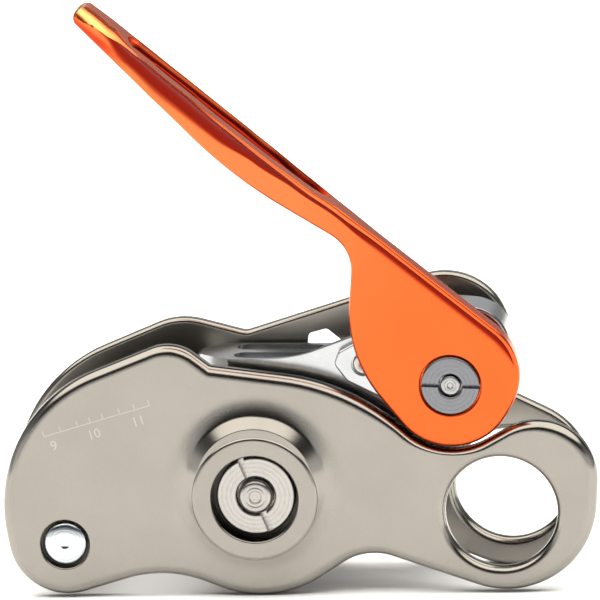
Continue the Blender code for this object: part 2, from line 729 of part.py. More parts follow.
def arm_plan():
    """The arm's top view, a cutter: a pointed nose, the tongue's full width, then only the cheek."""
    half = TONGUE_WIDTH / 2
    middle = half - ARM_FRONT_Y
    nose_x = TONGUE_NOSE[0] - TONGUE_NOSE[2]
    full_x = nose_x + TONGUE_NOSE_LENGTH
    front = -ARM_FRONT_Y - BEYOND
    cheek_y = -ARM_FRONT_Y + ARM_CHEEK
    end_x = PIVOT_X + 2 * ARM_HEAD[0][2]
    corners = [(end_x, cheek_y), (end_x, front), (full_x, front)]
    steps = EDGE_STEPS * 4
    for step in range(steps + 1):
        side = 2 * step / steps - 1
        corners.append((nose_x + TONGUE_NOSE_LENGTH * abs(side) ** TONGUE_NOSE_POWER, middle + half * side))
    corners += [(TONGUE_END_X, middle + half), (TONGUE_END_X, cheek_y)]
    high = PIVOT_Z + 3 * ARM_HEAD[0][2]
    return skin("plan", [[(x, y, z) for x, y in corners] for z in (-high, high)])


def brake_arm():
    """The brake arm: its disc turns on the handle's stud, and a thin cheek carries the tongue."""
    made = prism("brake_arm", arm_outline(), -ARM_FRONT_Y + ARM_HEAD_STEP, TONGUE_WIDTH)
    combine(made, arm_plan(), "INTERSECT")
    width = (TONGUE_WIDTH - 2 * RIB_WIDTH - CENTRE_RIB_WIDTH) / 2
    length = POCKETS_END_X - POCKETS_START_X
    high = TONGUE_NOSE[1] + TONGUE_NOSE[2]
    for side in (-1, 1):
        y = TONGUE_WIDTH / 2 - ARM_FRONT_Y + side * (CENTRE_RIB_WIDTH + width) / 2
        place = (POCKETS_START_X + length / 2, y, high)
        cut(made, block("pocket", (length, width, 2 * ARM_POCKET_DEPTH), place))
    head = tuple((*circle, 1.0) for circle in ARM_HEAD)
    join(made, plate("arm_head", head, -ARM_FRONT_Y, ARM_HEAD_BACK, ARM_HEAD_EDGE, ARM_HEAD_EDGE))
    cut(made, disc("bore", STUD_BUSH_RADIUS + FIT, -INNER_Y, INNER_Y, PIVOT))
    hole = SIDE_RIVET_SHANK_RADIUS + FIT
    return cut(made, disc("rivet_hole", hole, -INNER_Y, 0.0, side_rivet_place(), SMALL_SIDES))


def side_rivet_place():
    return PIVOT_X + SIDE_PLATE_END[0], PIVOT_Z + SIDE_PLATE_END[1]


def arm_side_plate():
    """The bright link plate beside the arm, between it and the handle."""
    circles = (
        (PIVOT_X, PIVOT_Z, SIDE_PLATE_HUB_RADIUS),
        (*side_rivet_place(), SIDE_PLATE_END[2]),
    )
    plain = tuple((*circle, 1.0) for circle in circles)
    made = plate(
        "arm_side_plate", plain, -SIDE_PLATE_FRONT_Y, -SIDE_PLATE_BACK_Y, SIDE_PLATE_EDGE, SIDE_PLATE_EDGE,
    )
    cut(made, disc("bore", STUD_RADIUS + FIT, -INNER_Y, 0.0, PIVOT))
    place = side_rivet_place()
    seat = -SIDE_PLATE_BACK_Y - SIDE_RIVET_SEAT
    cut(made, disc("rivet_hole", SIDE_RIVET_SHANK_RADIUS + FIT, -INNER_Y, 0.0, place, SMALL_SIDES))
    return cut(made, disc("rivet_seat", SIDE_RIVET_HEAD_RADIUS + FIT, -INNER_Y, seat, place, SMALL_SIDES))


def side_plate_rivet():
    """The small rivet that joins the link plate to the arm's cheek."""
    seat = -SIDE_PLATE_BACK_Y - SIDE_RIVET_SEAT - FIT
    front = -SIDE_PLATE_FRONT_Y + SIDE_RIVET_SET_BACK
    end = -ARM_FRONT_Y + ARM_CHEEK - SIDE_RIVET_SET_BACK
    profile = (
        (0.0, front),
        (SIDE_RIVET_HEAD_RADIUS - SIDE_RIVET_HEAD_EDGE, front),
        (SIDE_RIVET_HEAD_RADIUS, front + SIDE_RIVET_HEAD_EDGE),
        (SIDE_RIVET_HEAD_RADIUS, seat),
        (SIDE_RIVET_SHANK_RADIUS, seat),
        (SIDE_RIVET_SHANK_RADIUS, end),
        (0.0, end),
    )
    return turned("side_plate_rivet", profile, side_rivet_place(), SMALL_SIDES)


def arm_bush():
    return ring("arm_bush", STUD_RADIUS + FIT, STUD_BUSH_RADIUS, -ARM_FRONT_Y, ARM_HEAD_BACK, PIVOT)


def stud_spacer():
    """The sleeve that keeps the arm off the back plate, inside the arm's spring."""
    bore = STUD_RADIUS + FIT
    return ring("stud_spacer", bore, STUD_BUSH_RADIUS, ARM_HEAD_BACK + FIT, INNER_Y - FIT, PIVOT)


def handle_stud():
    """The stud riveted into the back plate. The arm and the handle turn on it."""
    profile = peened_end(STUD_END_RADIUS, -STUD_NUT_FRONT_Y + STUD_END_SET_BACK, STUD_END_EDGE)
    seat = OUTER_Y - STUD_HEAD_THICKNESS + FIT
    end = seat + STUD_HEAD_THICKNESS
    profile += [
        (STUD_END_RADIUS, -STUD_NUT_BACK_Y + FIT),
        (STUD_RADIUS, -STUD_NUT_BACK_Y + FIT),
        (STUD_RADIUS, seat),
        (STUD_HEAD_RADIUS, seat),
        (STUD_HEAD_RADIUS, end - STUD_HEAD_EDGE),
        (STUD_HEAD_RADIUS - STUD_HEAD_EDGE, end),
        (0.0, end),
    ]
    return turned("handle_stud", profile, PIVOT)


def handle_nut():
    return slotted_nut(
        "handle_nut", STUD_END_RADIUS + FIT, STUD_NUT_RADIUS, -STUD_NUT_FRONT_Y, -STUD_NUT_BACK_Y,
        STUD_NUT_SLOT, STUD_NUT_SLOT_ANGLE, PIVOT,
    )


def handle_bush():
    return ring("handle_bush", STUD_RADIUS + FIT, STUD_BUSH_RADIUS, -HANDLE_LEDGE_Y, -INNER_Y, PIVOT)


def flange_at(from_tip):
    """The flange's dip, overhang, rear edge, front face and cove, eased between the named stations."""
    for first, second in zip(FLANGE, FLANGE[1:]):
        if from_tip <= second[0]:
            part = max(0.0, (from_tip - first[0]) / (second[0] - first[0]))
            ease = (1 - math.cos(math.pi * part)) / 2
            return [low + (high - low) * ease for low, high in zip(first[1:], second[1:])]
    return list(FLANGE[-1][1:])


def lip_section(from_tip, share):
    """The flange's cross-section as (inset, y). Share says how far the lip stands out of the web."""
    dip, overhang, rear, face_height, cove = flange_at(from_tip)
    web = -HANDLE_FACE_Y
    near = web - overhang * share
    top = dip - LIP_PROUD * share
    under = top + face_height
    corner = min(LIP_CORNER, face_height / 3, overhang * share / 3)
    fall = min(LIP_EDGE, face_height / 2)
    depth = web + HAIR - near - corner
    points = [(under + cove, web + SUNK)]
    for step in range(COVE_STEPS + 1):
        angle = math.pi / 2 * step / COVE_STEPS
        points.append((under + cove * (1 - math.sin(angle)), web + HAIR - depth * (1 - math.cos(angle))))
    points.append((under - corner, near))
    for step in range(EDGE_STEPS + 1):
        angle = math.pi / 2 * step / EDGE_STEPS
        points.append((top + fall * (1 - math.sin(angle)), near + LIP_EDGE * (1 - math.cos(angle))))
    for step in range(EDGE_STEPS + 1):
        angle = math.pi / 2 * (1 - step / EDGE_STEPS)
        inset = top + WING_CORNER * (1 - math.sin(angle))
        points.append((inset, rear - WING_CORNER * (1 - math.cos(angle))))
    wing = dip + WING_THICKNESS
    inside = -INNER_Y - SUNK
    points.append((wing - WING_CHAMFER, rear))
    points.append((wing, min(rear, inside) - WING_CHAMFER))
    points.append((wing + WING_FILLET, inside))
    return points


def handle_edge():
    """The straight top edge of the handle: its hub end, its tip end and its outward angle."""
    circles = HANDLE_OUTLINE
    angle = tangent_angles(circles)[1]
    ends = []
    for x, z, radius, _ in circles[1:3]:
        ends.append(Vector((x + radius * math.cos(angle), 0.0, z + radius * math.sin(angle))))
    return ends[0], ends[1], angle


def handle_lip():
    """The flange along the handle's top edge: it fades in on the hub and closes at the tip."""
    hub_end, tip_end, angle = handle_edge()
    length = (tip_end - hub_end).length
    x, z, radius, _ = HANDLE_OUTLINE[1]
    fade = 5
    start = math.radians(HUB_LIP_STARTS)
    stations = []
    for step in range(fade):
        part = step / fade
        ray = (x, z, radius, start + (angle - start) * part, 1.0)
        stations.append((ray, length, math.sin(math.pi / 2 * (0.03 + 0.97 * part))))
    out = Vector((math.cos(angle), 0.0, math.sin(angle)))
    along = 16
    for step in range(along + 1):
        from_tip = length * (1 - step / along)
        centre = tip_end.lerp(hub_end, from_tip / length) - out * radius
        stations.append(((centre.x, centre.z, radius, angle, 1.0), from_tip, 1.0))
    rings = []
    for ray, from_tip, share in stations:
        points = []
        for inset, y in lip_section(from_tip, share):
            px, pz = at_inset(ray, inset)
            points.append((px, y, pz))
        rings.append(points)
    rings += closing_rings(rings[-1], hub_end, tip_end)
    return skin("lip", rings)


def closing_rings(last, hub_end, tip_end):
    """Ever smaller copies of the last ring about the tip's own centre, which round the tip off."""
    depths = [y for _, y, _ in last]
    middle = Vector((HANDLE_TIP[0], (min(depths) + max(depths)) / 2, HANDLE_TIP[1]))
    way = (tip_end - hub_end).normalized()
    rings = []
    for step in range(1, EDGE_STEPS + 2):
        angle = math.pi / 2 * (1 - 1 / (EDGE_STEPS + 2)) * step / (EDGE_STEPS + 1)
        ahead = way * HANDLE_TIP[2] * math.sin(angle)
        rings.append([tuple(middle + (Vector(point) - middle) * math.cos(angle) + ahead) for point in last])
    return rings


def grip_pocket():
    """The long pocket in the grip's top face, a cutter that follows the flange's two edges."""
    hub_end, tip_end, angle = handle_edge()
    way = (hub_end - tip_end).normalized()
    out = Vector((math.cos(angle), 0.0, math.sin(angle)))
    front_side = []
    rear_side = []
    steps = EDGE_STEPS * 6
    for step in range(steps + 1):
        along = POCKET_LENGTH * (1 - math.cos(math.pi * step / steps)) / 2
        from_end = min(along, POCKET_LENGTH - along, POCKET_END_ROUNDING)
        narrowing = math.sqrt(1 - (1 - from_end / POCKET_END_ROUNDING) ** 2)
        _, overhang, rear, _, _ = flange_at(POCKET_FROM_TIP + along)
        front = -HANDLE_FACE_Y - overhang
        middle = (front + POCKET_FRONT_RIM + rear - POCKET_REAR_RIM) / 2
        half = (rear - POCKET_REAR_RIM - front - POCKET_FRONT_RIM) / 2
        front_side.append((POCKET_FROM_TIP + along, middle - half * narrowing))
        rear_side.append((POCKET_FROM_TIP + along, middle + half * narrowing))
    corners = front_side + rear_side[-2:0:-1]
    rings = []
    for height in (-POCKET_DEPTH, BEYOND):
        level = []
        for along, y in corners:
            place = tip_end + way * along + out * height
            level.append((place.x, y, place.z))
        rings.append(level)
    return skin("grip_pocket", rings)


def handle():
    """The release handle: a flat web with a flange along its top, bored for its nut and bush."""
    web = plate(
        "handle", HANDLE_OUTLINE, -HANDLE_FACE_Y, -INNER_Y, HANDLE_FRONT_ROUNDING, HANDLE_BACK_ROUNDING,
    )
    join(web, handle_lip())
    cut(web, grip_pocket())
    front = -HANDLE_FRONT_Y - BEYOND
    cut(web, disc("nut_seat", STUD_NUT_RADIUS + FIT, front, -HANDLE_LEDGE_Y, PIVOT))
    return cut(web, disc("bore", STUD_BUSH_RADIUS + FIT, front, 0.0, PIVOT))


def domed_head(face, way):
    """A domed rivet head with a dimple, as profile points from its middle to its rim."""
    crown = face + way * LATCH_HEAD_HEIGHT
    floor = LATCH_DIMPLE_RADIUS - LATCH_DIMPLE_DEPTH
    points = [(0.0, crown - way * LATCH_DIMPLE_DEPTH), (floor, crown - way * LATCH_DIMPLE_DEPTH)]
    steps = EDGE_STEPS * 2
    for step in range(steps + 1):
        angle = math.pi / 2 * step / steps
        out = LATCH_DIMPLE_RADIUS + (LATCH_HEAD_RADIUS - LATCH_DIMPLE_RADIUS) * math.sin(angle)
        share = LATCH_HEAD_RIM + (1 - LATCH_HEAD_RIM) * math.cos(angle)
        points.append((out, face + way * LATCH_HEAD_HEIGHT * share))
    return points + [(LATCH_HEAD_RADIUS, face)]


def latch_rivet():
    """The bright domed rivet in the swinging plate, over the rope post."""
    face = -OUTER_Y + LATCH_RECESS_DEPTH - FIT
    profile = domed_head(face, -1)
    end = -INNER_Y - LATCH_SHANK_END
    profile += [(LATCH_SHANK_RADIUS, face), (LATCH_SHANK_RADIUS, end), (0.0, end)]
    return turned("latch_rivet", profile, POST)


def rope_post():
    """The post between the plates that keeps the rope in, hollow for its rivet."""
    profile = (
        (0.0, -INNER_Y + FIT),
        (POST_RADIUS - POST_EDGE, -INNER_Y + FIT),
        (POST_RADIUS, -INNER_Y + FIT + POST_EDGE),
        (POST_RADIUS, INNER_Y - FIT),
        (POST_BORE, INNER_Y - FIT),
        (POST_BORE, 0.0),
        (0.0, 0.0),
    )
    return turned("rope_post", profile, POST)


def post_rivet():
    """The rivet that holds the rope post to the back plate."""
    face = OUTER_Y - LATCH_RECESS_DEPTH + FIT
    profile = domed_head(face, 1)
    shank = POST_BORE - FIT
    profile += [(LATCH_SHANK_RADIUS, face), (LATCH_SHANK_RADIUS, INNER_Y)]
    profile += [(shank, INNER_Y), (shank, FIT), (0.0, FIT)]
    return turned("post_rivet", profile, POST)


def coloured(made, finish):
    """Gives a piece its own material and smooth shading with sharp real edges."""
    colour, roughness, metallic = FINISHES[finish]
    material = bpy.data.materials.new(f"{made.name}_{finish}")
    material.use_nodes = True
    surface = material.node_tree.nodes["Principled BSDF"]
    surface.inputs["Base Color"].default_value = colour
    surface.inputs["Roughness"].default_value = roughness
    surface.inputs["Metallic"].default_value = metallic
    made.data.materials.clear()
    made.data.materials.append(material)
    if made.type == "MESH":
        made.data.shade_smooth()
        made.data.set_sharp_from_angle(angle=math.radians(SHARP_FROM))


def set_origin(made, centre):
    """Moves a piece's origin onto an axis without moving the piece."""
    shift = Vector((centre[0] * MM, 0.0, centre[1] * MM))
    made.data.transform(Matrix.Translation(-shift))
    made.location = shift


def resting_lean():
    """The small lean at which the back plate rests on its axle lobe and its eye lobe."""
    run_x = BACK_EYE_LOBE[0] - AXLE_LOBE[0]
    run_z = BACK_EYE_LOBE[1] - AXLE_LOBE[1]
    drop = math.asin((AXLE_LOBE[2] - BACK_EYE_LOBE[2]) / math.hypot(run_x, run_z))
    return math.atan2(run_z, run_x) + drop


def stand_up(pieces):
    """Hangs the pieces on one empty and sets it so that the whole stands centred on the ground."""
    stand = bpy.data.objects.new("stand", None)
    stand.rotation_euler.y = resting_lean()
    bpy.context.scene.collection.objects.link(stand)
    for piece in pieces:
        piece.parent = stand
    bpy.context.view_layer.update()
    graph = bpy.context.evaluated_depsgraph_get()
    low = Vector((math.inf, math.inf, math.inf))
    high = -low
    for piece in pieces:
        evaluated = piece.evaluated_get(graph)
        for vertex in evaluated.to_mesh().vertices:
            place = evaluated.matrix_world @ vertex.co
            low = Vector(map(min, low, place))
            high = Vector(map(max, high, place))
        evaluated.to_mesh_clear()
    stand.location = (-(low.x + high.x) / 2, -(low.y + high.y) / 2, -low.z)
    print("axle in the world, mm:", [round(value / MM, 3) for value in stand.location])
    print("lean, degrees:", round(math.degrees(stand.rotation_euler.y), 4))


def main():
    for old in list(bpy.data.objects):
        bpy.data.objects.remove(old)
    washer_middle = CAM_HALF_WIDTH + FIT + WASHER_THICKNESS / 2
    pieces = (
        (back_plate(), AXLE, "satin_plate"),
        (main_axle(), AXLE, "turned_steel"),
        (main_axle_nut(), AXLE, "turned_steel"),
        (axle_washer("front_washer", -washer_middle), AXLE, "turned_steel"),
        (axle_washer("back_washer", washer_middle), AXLE, "turned_steel"),
        (cam_stop_pin(), AXLE, "turned_steel"),
        (cam_spring(), AXLE, "spring_steel"),
        (arm_spring(), PIVOT, "spring_steel"),
        (handle_stud(), PIVOT, "turned_steel"),
        (handle_nut(), PIVOT, "turned_steel"),
        (stud_spacer(), PIVOT, "turned_steel"),
        (rope_post(), POST, "turned_steel"),
        (post_rivet(), POST, "zinc"),
        (front_plate(), AXLE, "satin_plate"),
        (plate_bush(), AXLE, "bronze"),
        (latch_rivet(), POST, "zinc"),
        (rope_cam(), AXLE, "bright_cast"),
        (cam_bush(), AXLE, "bronze"),
        (brake_arm(), PIVOT, "bright_cast"),
        (arm_side_plate(), PIVOT, "bright_cast"),
        (side_plate_rivet(), PIVOT, "turned_steel"),
        (arm_bush(), PIVOT, "bronze"),
        (handle(), PIVOT, "orange_anodised"),
        (handle_bush(), PIVOT, "bronze"),
    )
    for made, centre, finish in pieces:
        coloured(made, finish)
        set_origin(made, centre)
    stand_up([made for made, _, _ in pieces])


main()
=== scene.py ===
"""Looks of an assisted braking belay device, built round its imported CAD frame.

The shape functions work in millimetres round the main axle.
One matrix then puts each piece into the frame."""

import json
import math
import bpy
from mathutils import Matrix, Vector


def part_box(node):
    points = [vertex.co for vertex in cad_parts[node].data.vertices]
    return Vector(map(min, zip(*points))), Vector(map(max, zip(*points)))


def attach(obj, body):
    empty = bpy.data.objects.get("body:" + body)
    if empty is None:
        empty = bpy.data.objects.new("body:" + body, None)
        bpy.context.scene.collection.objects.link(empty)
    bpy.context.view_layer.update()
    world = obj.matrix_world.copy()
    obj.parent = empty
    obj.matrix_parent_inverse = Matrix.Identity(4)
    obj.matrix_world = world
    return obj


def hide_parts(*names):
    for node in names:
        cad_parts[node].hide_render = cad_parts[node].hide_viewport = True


bl_info = {
    "name": "Belay device looks",
    "version": (1, 0, 0),
    "blender": (4, 5, 0),
    "location": "3D View > Sidebar > Belay device",
    "description": "Builds the dressed pieces of an assisted braking belay device round its CAD frame",
    "category": "Add Mesh",
}

from types import SimpleNamespace

import bmesh
import bpy
from bpy.props import FloatProperty, FloatVectorProperty, PointerProperty
from mathutils import Matrix, Vector

MM = 0.001

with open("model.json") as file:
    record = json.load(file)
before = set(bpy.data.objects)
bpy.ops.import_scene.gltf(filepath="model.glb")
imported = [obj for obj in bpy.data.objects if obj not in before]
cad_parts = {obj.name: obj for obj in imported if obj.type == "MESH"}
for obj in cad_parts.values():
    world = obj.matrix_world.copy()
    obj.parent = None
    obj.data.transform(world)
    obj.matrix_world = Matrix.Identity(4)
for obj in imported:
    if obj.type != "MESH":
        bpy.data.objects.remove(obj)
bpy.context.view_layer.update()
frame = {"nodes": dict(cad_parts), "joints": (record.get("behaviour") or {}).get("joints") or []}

# How fine the curves are
CHORD = 0.012
TURNED_SIDES = 112
EDGE_STEPS = 7
SMALL_SIDES = 64

# Places round the main axle, in millimetres
AXLE = (0.0, 0.0)
PIVOT = (36.9, 21.1)
POST = (-36.2, -9.5)
EYE = (45.9, -3.3)
SIDE_RIVET = (20.3, 24.2)

# Fits and radii that several pieces share, in millimetres
GAP = 0.3  # between neighbouring pieces
THROUGH = 20.0  # beyond every piece, for cutters that go right through
HUB_RADIUS = 11.9
HUB_BORE = 4.4
RIVET_SEAT = 4.65
RIVET_BORE = 2.5
LINK_HOLE = 1.6
LINK_SEAT_DEPTH = 0.6  # as a share of the link plate's thickness

# Outlines: circles that a belt runs round, as (x, z, radius, share of the edge rounding).
# A negative radius is a hollow.
# The recess is 0.1 mm wider than the solid's, which keeps the dressed handle clear of the plate at full turn.
RECESS_GAP = 0.6
HANDLE_RECESS = (*PIVOT, -(HUB_RADIUS + RECESS_GAP), 0.45)
FRONT_OUTLINE = (
    (-36.0, -8.3, 11.1, 1.0),
    (-18.2, -37.7, -22.2, 1.0),
    (0.3, 1.5, 21.0, 1.0),
    (21.9, -22.1, -10.6, 1.0),
    (46.6, -1.2, 17.2, 1.0),
    (52.9, 2.9, 11.2, 1.0),
    HANDLE_RECESS,
    (0.4, -17.4, 40.5, 1.0),
    (-8.0, 25.0, -0.5, 1.0),
    (-16.2, 20.3, 8.2, 1.0),
    (-19.4, -2.8, 28.4, 1.0),
)
BACK_OUTLINE = (
    (-36.0, -8.3, 11.1, 1.0),
    (-18.2, -37.7, -22.2, 1.0),
    (0.3, 1.5, 21.0, 1.0),
    (21.9, -22.1, -10.6, 1.0),
    (45.9, -3.0, 15.9, 1.0),
    (48.8, 17.6, -3.9, 1.0),
    (34.1, 25.2, 12.5, 1.0),
    (-3.6, 28.8, -2.5, 1.0),
    (-15.1, 16.1, 12.7, 1.0),
    (-19.4, -2.8, 28.4, 1.0),
)
HANDLE_OUTLINE = (
    (*PIVOT, HUB_RADIUS, 1.0),
    (38.2, 22.9, 11.7, 1.0),
    (-30.4, 91.1, 1.8, 1.0),
    (51.0, 128.7, 86.2, 1.0),
    (11.0, 43.1, -7.7, 1.0),
    (43.1, 34.3, 25.0, 1.0),
)
WINDOW = ((9.4, 20.2, 1.6), (16.6, 20.4, 1.6), (13.9, 24.1, 0.8), (11.6, 26.0, 0.8), (9.1, 25.3, 0.8))
ARM_HEAD = ((*PIVOT, 11.3), (39.9, 26.9, 7.8), (36.3, 23.8, 11.2))
LINK_CORNERS = (
    (19.3, 27.2, 1.2, 1.0),
    (16.6, 25.7, 1.2, 1.0),
    (16.1, 24.4, 1.2, 1.0),
    (17.9, 21.9, 1.2, 1.0),
)
TONGUE_NOSE = (-10.6, 23.2, 1.4)
TONGUE_SHOULDER = (2.0, 51.6, -27.0)
SHOE = (0.0, 0.0, -21.6)

# The handle's top flange by distance from the tip: its dip, how far it overhangs the web's face,
# its rear edge, the height of its front face and the reach of the cove under it
FLANGE = (
    (0.0, 0.0, 0.3, -5.2, 0.25, 1.5),
    (5.0, 0.0, 1.0, -4.8, 0.25, 2.8),
    (11.0, 0.1, 2.9, -4.7, 0.25, 4.3),
    (21.0, 0.25, 3.3, -4.65, 0.3, 5.2),
    (33.0, 0.4, 3.7, -4.7, 0.45, 4.6),
    (42.0, 0.4, 3.7, -5.3, 0.6, 3.0),
    (51.0, 0.3, 3.2, -6.6, 0.8, 1.9),
    (60.0, 0.0, 1.6, -8.5, 1.0, 1.4),
    (70.0, 0.0, 0.8, -9.2, 0.9, 2.5),
)
# The slope of the boss's mound by distance from its middle
MOUND_SLOPE = ((11.0, 0.0), (11.2, 1.2), (13.0, 1.2), (13.6, 0.62), (15.4, 0.36), (16.6, 0.1), (17.6, 0.0))
MOUND_PARTS = 6  # facets for each stretch of that slope
MOUND_SINK = 0.004  # keeps the mound just under the disc's step
PAINTED_GAP_SHADE = (0.03, 0.028, 0.026)  # painted shade: near black in the narrow gaps round the nuts and rivets and in the turned pieces' creases

# The gauge on the front plate: where its marks stand along the upper left edge
GAUGE_START = (-39.6, 11.3)
GAUGE_END = (-19.6, 17.3)
GAUGE_TICKS = (0.0, 0.16, 0.32, 0.44, 0.56, 0.72, 0.86, 1.0)
GAUGE_NUMBERS = ((0.06, "9"), (0.44, "10"), (0.86, "11"))
GAUGE_TICK_LENGTH = 1.1
GAUGE_LINE_WIDTH = 0.16
GAUGE_NUMBER_HEIGHT = 2.6
GAUGE_NUMBER_DROP = 1.0


def resting_place():
    """The matrix from millimetres round the axle to the frame, from two of the frame's joints."""
    places = {joint["name"]: joint["pos_m"] for joint in frame["joints"]}
    axle = Vector(places["side_plate_swing"])
    run = Vector(places["handle_turn"]) - axle
    lean = math.atan2(PIVOT[1], PIVOT[0]) - math.atan2(run.z, run.x)
    axle.y = (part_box("front_plate")[1].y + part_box("back_plate")[0].y) / 2
    return Matrix.Translation(axle) @ Matrix.Rotation(lean, 4, "Y") @ Matrix.Scale(MM, 4), lean


# Properties


def length(name, description, value):
    """A length in metres, given here in millimetres."""
    return FloatProperty(name=name, description=description, default=value * MM, precision=5, unit="LENGTH")


def colour(name, description, value):
    return FloatVectorProperty(
        name=name, description=description, default=value, size=3, min=0.0, max=1.0, subtype="COLOR",
    )


def power(name, description, value):
    return FloatProperty(name=name, description=description, default=value)


class PlateSizes(bpy.types.PropertyGroup):
    """Sizes of the two forged side plates."""

    rope_space: length("Rope space", "Clear width between the plates", 18.0)
    thickness: length("Thickness", "Thickness of each plate", 4.0)
    outer_rounding: length("Outer rounding", "Rounding of the outer long edges", 2.1)
    inner_rounding: length("Inner rounding", "Rounding of the inner long edges", 1.0)
    eye_bore: length("Eye", "Diameter of the carabiner eye", 21.0)
    eye_rim: length("Eye rim", "Rounding of the eye's rims", 1.7)
    boss_height: length("Boss height", "How far the boss stands out", 3.0)
    boss_step: length("Boss step", "Height of the rounded step round the boss's flat top", 0.4)
    boss_top: length("Boss top", "Radius of the boss's flat top", 11.8)
    boss_foot_rise: length("Boss foot rise", "How far the mound's middle lies above the axle", 2.2)
    counterbore: length("Counterbore", "Radius of the nut's recess", 8.2)
    ledge: length("Ledge", "Metal left under the nut", 1.6)


class HandleSizes(bpy.types.PropertyGroup):
    """Sizes of the release handle."""

    web: length("Web", "Thickness of the flat web", 3.8)
    front_rounding: length("Front rounding", "Rounding of the front long edges", 1.3)
    back_rounding: length("Back rounding", "Rounding of the rear long edges", 0.8)
    lip_edge: length("Lip edge", "Rounding of the flange's front edge", 0.5)
    wing_thickness: length("Wing", "Thickness of the flange's rear part", 2.7)
    tip_rounding: length("Tip rounding", "Rounding of the tip's front top edge", 3.6)
    tip_length: length("Tip length", "From the tip to where its rounding runs out", 15.0)
    pocket_start: length("Pocket start", "From the tip to the pocket", 9.0)
    pocket_length: length("Pocket length", "Length of the pocket in the grip", 48.0)
    pocket_depth: length("Pocket depth", "Depth of the pocket in the grip", 1.6)
    nut_seat: length("Nut seat", "Radius of the recess round the handle's nut", 5.8)


class ArmSizes(bpy.types.PropertyGroup):
    """Sizes of the brake arm and its side plate."""

    tongue_width: length("Tongue width", "Width of the tongue over the rope", 13.4)
    cheek: length("Cheek", "Thickness of the cheek that carries the tongue", 2.3)
    rib: length("Rib", "Width of the tongue's side ribs", 1.2)
    centre_rib: length("Centre rib", "Width of the tongue's middle rib", 2.0)
    pocket_depth: length("Pocket depth", "Depth of the tongue's two pockets", 1.2)
    link_thickness: length("Side plate", "Thickness of the bright side plate", 2.0)


class Finishes(bpy.types.PropertyGroup):
    """Colours of the finishes, as linear values."""

    plate: colour("Satin plate", "Blasted grey of the side plates", (0.262, 0.247, 0.222))
    plate_edge: colour("Plate edge", "Brighter metal along the plates' edges", (0.36, 0.342, 0.31))
    orange: colour("Orange", "Anodised orange of the handle's hub", (0.70, 0.097, 0.020))
    orange_pale: colour("Pale orange", "Anodised orange of the grip", (0.70, 0.135, 0.040))
    # Painted shade in concave hollows, which also varies the grip's tone a little at random
    orange_tone_and_hollow_shade: colour("Deep orange", "Anodised orange in hollows", (0.56, 0.049, 0.008))
    # Painted shade: dark red along the bottom of the tip's front face
    orange_tip_shade: colour("Rim orange", "Dye pooled under the tip", (0.36, 0.022, 0.004))
    # Painted highlight: pale yellow orange where the tip's rounding faces up
    orange_tip_highlight: colour("Worn orange", "Dye thinned by the thumb at the tip", (0.95, 0.42, 0.13))
    # Painted shade: dark red in the cove under the flange and on the grip lip's front face
    orange_shade: colour("Shaded orange", "Dye pooled in the cove under the flange", (0.15, 0.005, 0.0005))
    # Painted shade: dark red on the floor of the grip's long pocket
    orange_pocket_shade: colour("Pocket orange", "Dye in the grip's long pocket", (0.30, 0.014, 0.004))
    steel: colour("Turned steel", "Axle, nuts and stud", (0.40, 0.385, 0.365))
    cast: colour("Bright steel", "Brake arm, its side plate and the cam", (0.43, 0.445, 0.455))
    zinc: colour("Zinc", "Plated rivets", (0.62, 0.67, 0.70))
    bronze: colour("Bronze", "Bushes", (0.50, 0.34, 0.17))
    spring: colour("Spring steel", "Oiled spring wire", (0.24, 0.24, 0.25))
    mark: colour("Marks", "Etched marks of the gauge", (0.41, 0.395, 0.37))


class StageSettings(bpy.types.PropertyGroup):
    """Camera distance, light and floor."""

    camera_distance: FloatProperty(
        name="Camera distance", description="From the front plate to the camera", default=3.0, unit="LENGTH",
    )
    picture_width: length("Picture width", "Width of the view at the front plate", 112.2)
    floor_light: power("Floor light", "Power of the lamp over the floor", 88.0)
    top_light: power("Overhead light", "Brightness of the overhead softbox", 3.0)
    front_light: power("Front light", "Brightness of the low front", 1.05)
    back_light: power("Back light", "Brightness of the low back window", 0.55)
    floor: colour("Floor", "Pale floor", (0.86, 0.86, 0.86))


def in_mm(group):
    """The lengths of a property group as plain numbers in millimetres."""
    properties = group.bl_rna.properties.items()
    names = [name for name, kind in properties if kind.type == "FLOAT" and kind.unit == "LENGTH"]
    return SimpleNamespace(**{name: getattr(group, name) / MM for name in names})


# Shapes


def arc_steps(radius, turn):
    """How many straight facets stand for an arc of this radius and turn."""
    widest = 2 * math.acos(max(0.0, 1 - CHORD / max(abs(radius), CHORD)))
    return max(3, math.ceil(abs(turn) / widest))


def tangent_angles(circles):
    """The direction, from each circle's centre, in which the belt leaves for the next circle."""
    angles = []
    for first, second in zip(circles, circles[1:] + circles[:1]):
        run_x = second[0] - first[0]
        run_z = second[1] - first[1]
        lean = (first[2] - second[2]) / math.hypot(run_x, run_z)
        angles.append(math.atan2(run_z, run_x) - math.acos(max(-1.0, min(1.0, lean))))
    return angles


def belt(circles):
    """An outline as rays (x, z, radius, angle, rounding), anticlockwise as seen from the front."""
    leaving = tangent_angles(circles)
    rays = []
    for index, (x, z, radius, rounding) in enumerate(circles):
        before = circles[index - 1][3]
        after = circles[(index + 1) % len(circles)][3]
        turn = (leaving[index] - leaving[index - 1]) % math.tau
        if radius < 0:
            turn -= math.tau
        if abs(turn) > math.tau - 0.1:
            turn = 0.0
        steps = arc_steps(radius, turn)
        for step in range(steps + 1):
            part = step / steps
            near = before if part < 0.5 else after
            ease = (1 - math.cos(math.pi * abs(part - 0.5))) / 2
            rays.append((x, z, radius, leaving[index - 1] + part * turn, rounding * (1 - ease) + near * ease))
    return rays


def at_inset(ray, inset):
    """The outline's point on this ray, moved inwards."""
    x, z, radius, angle, rounding = ray
    reach = radius - inset * rounding
    return x + reach * math.cos(angle), z + reach * math.sin(angle)


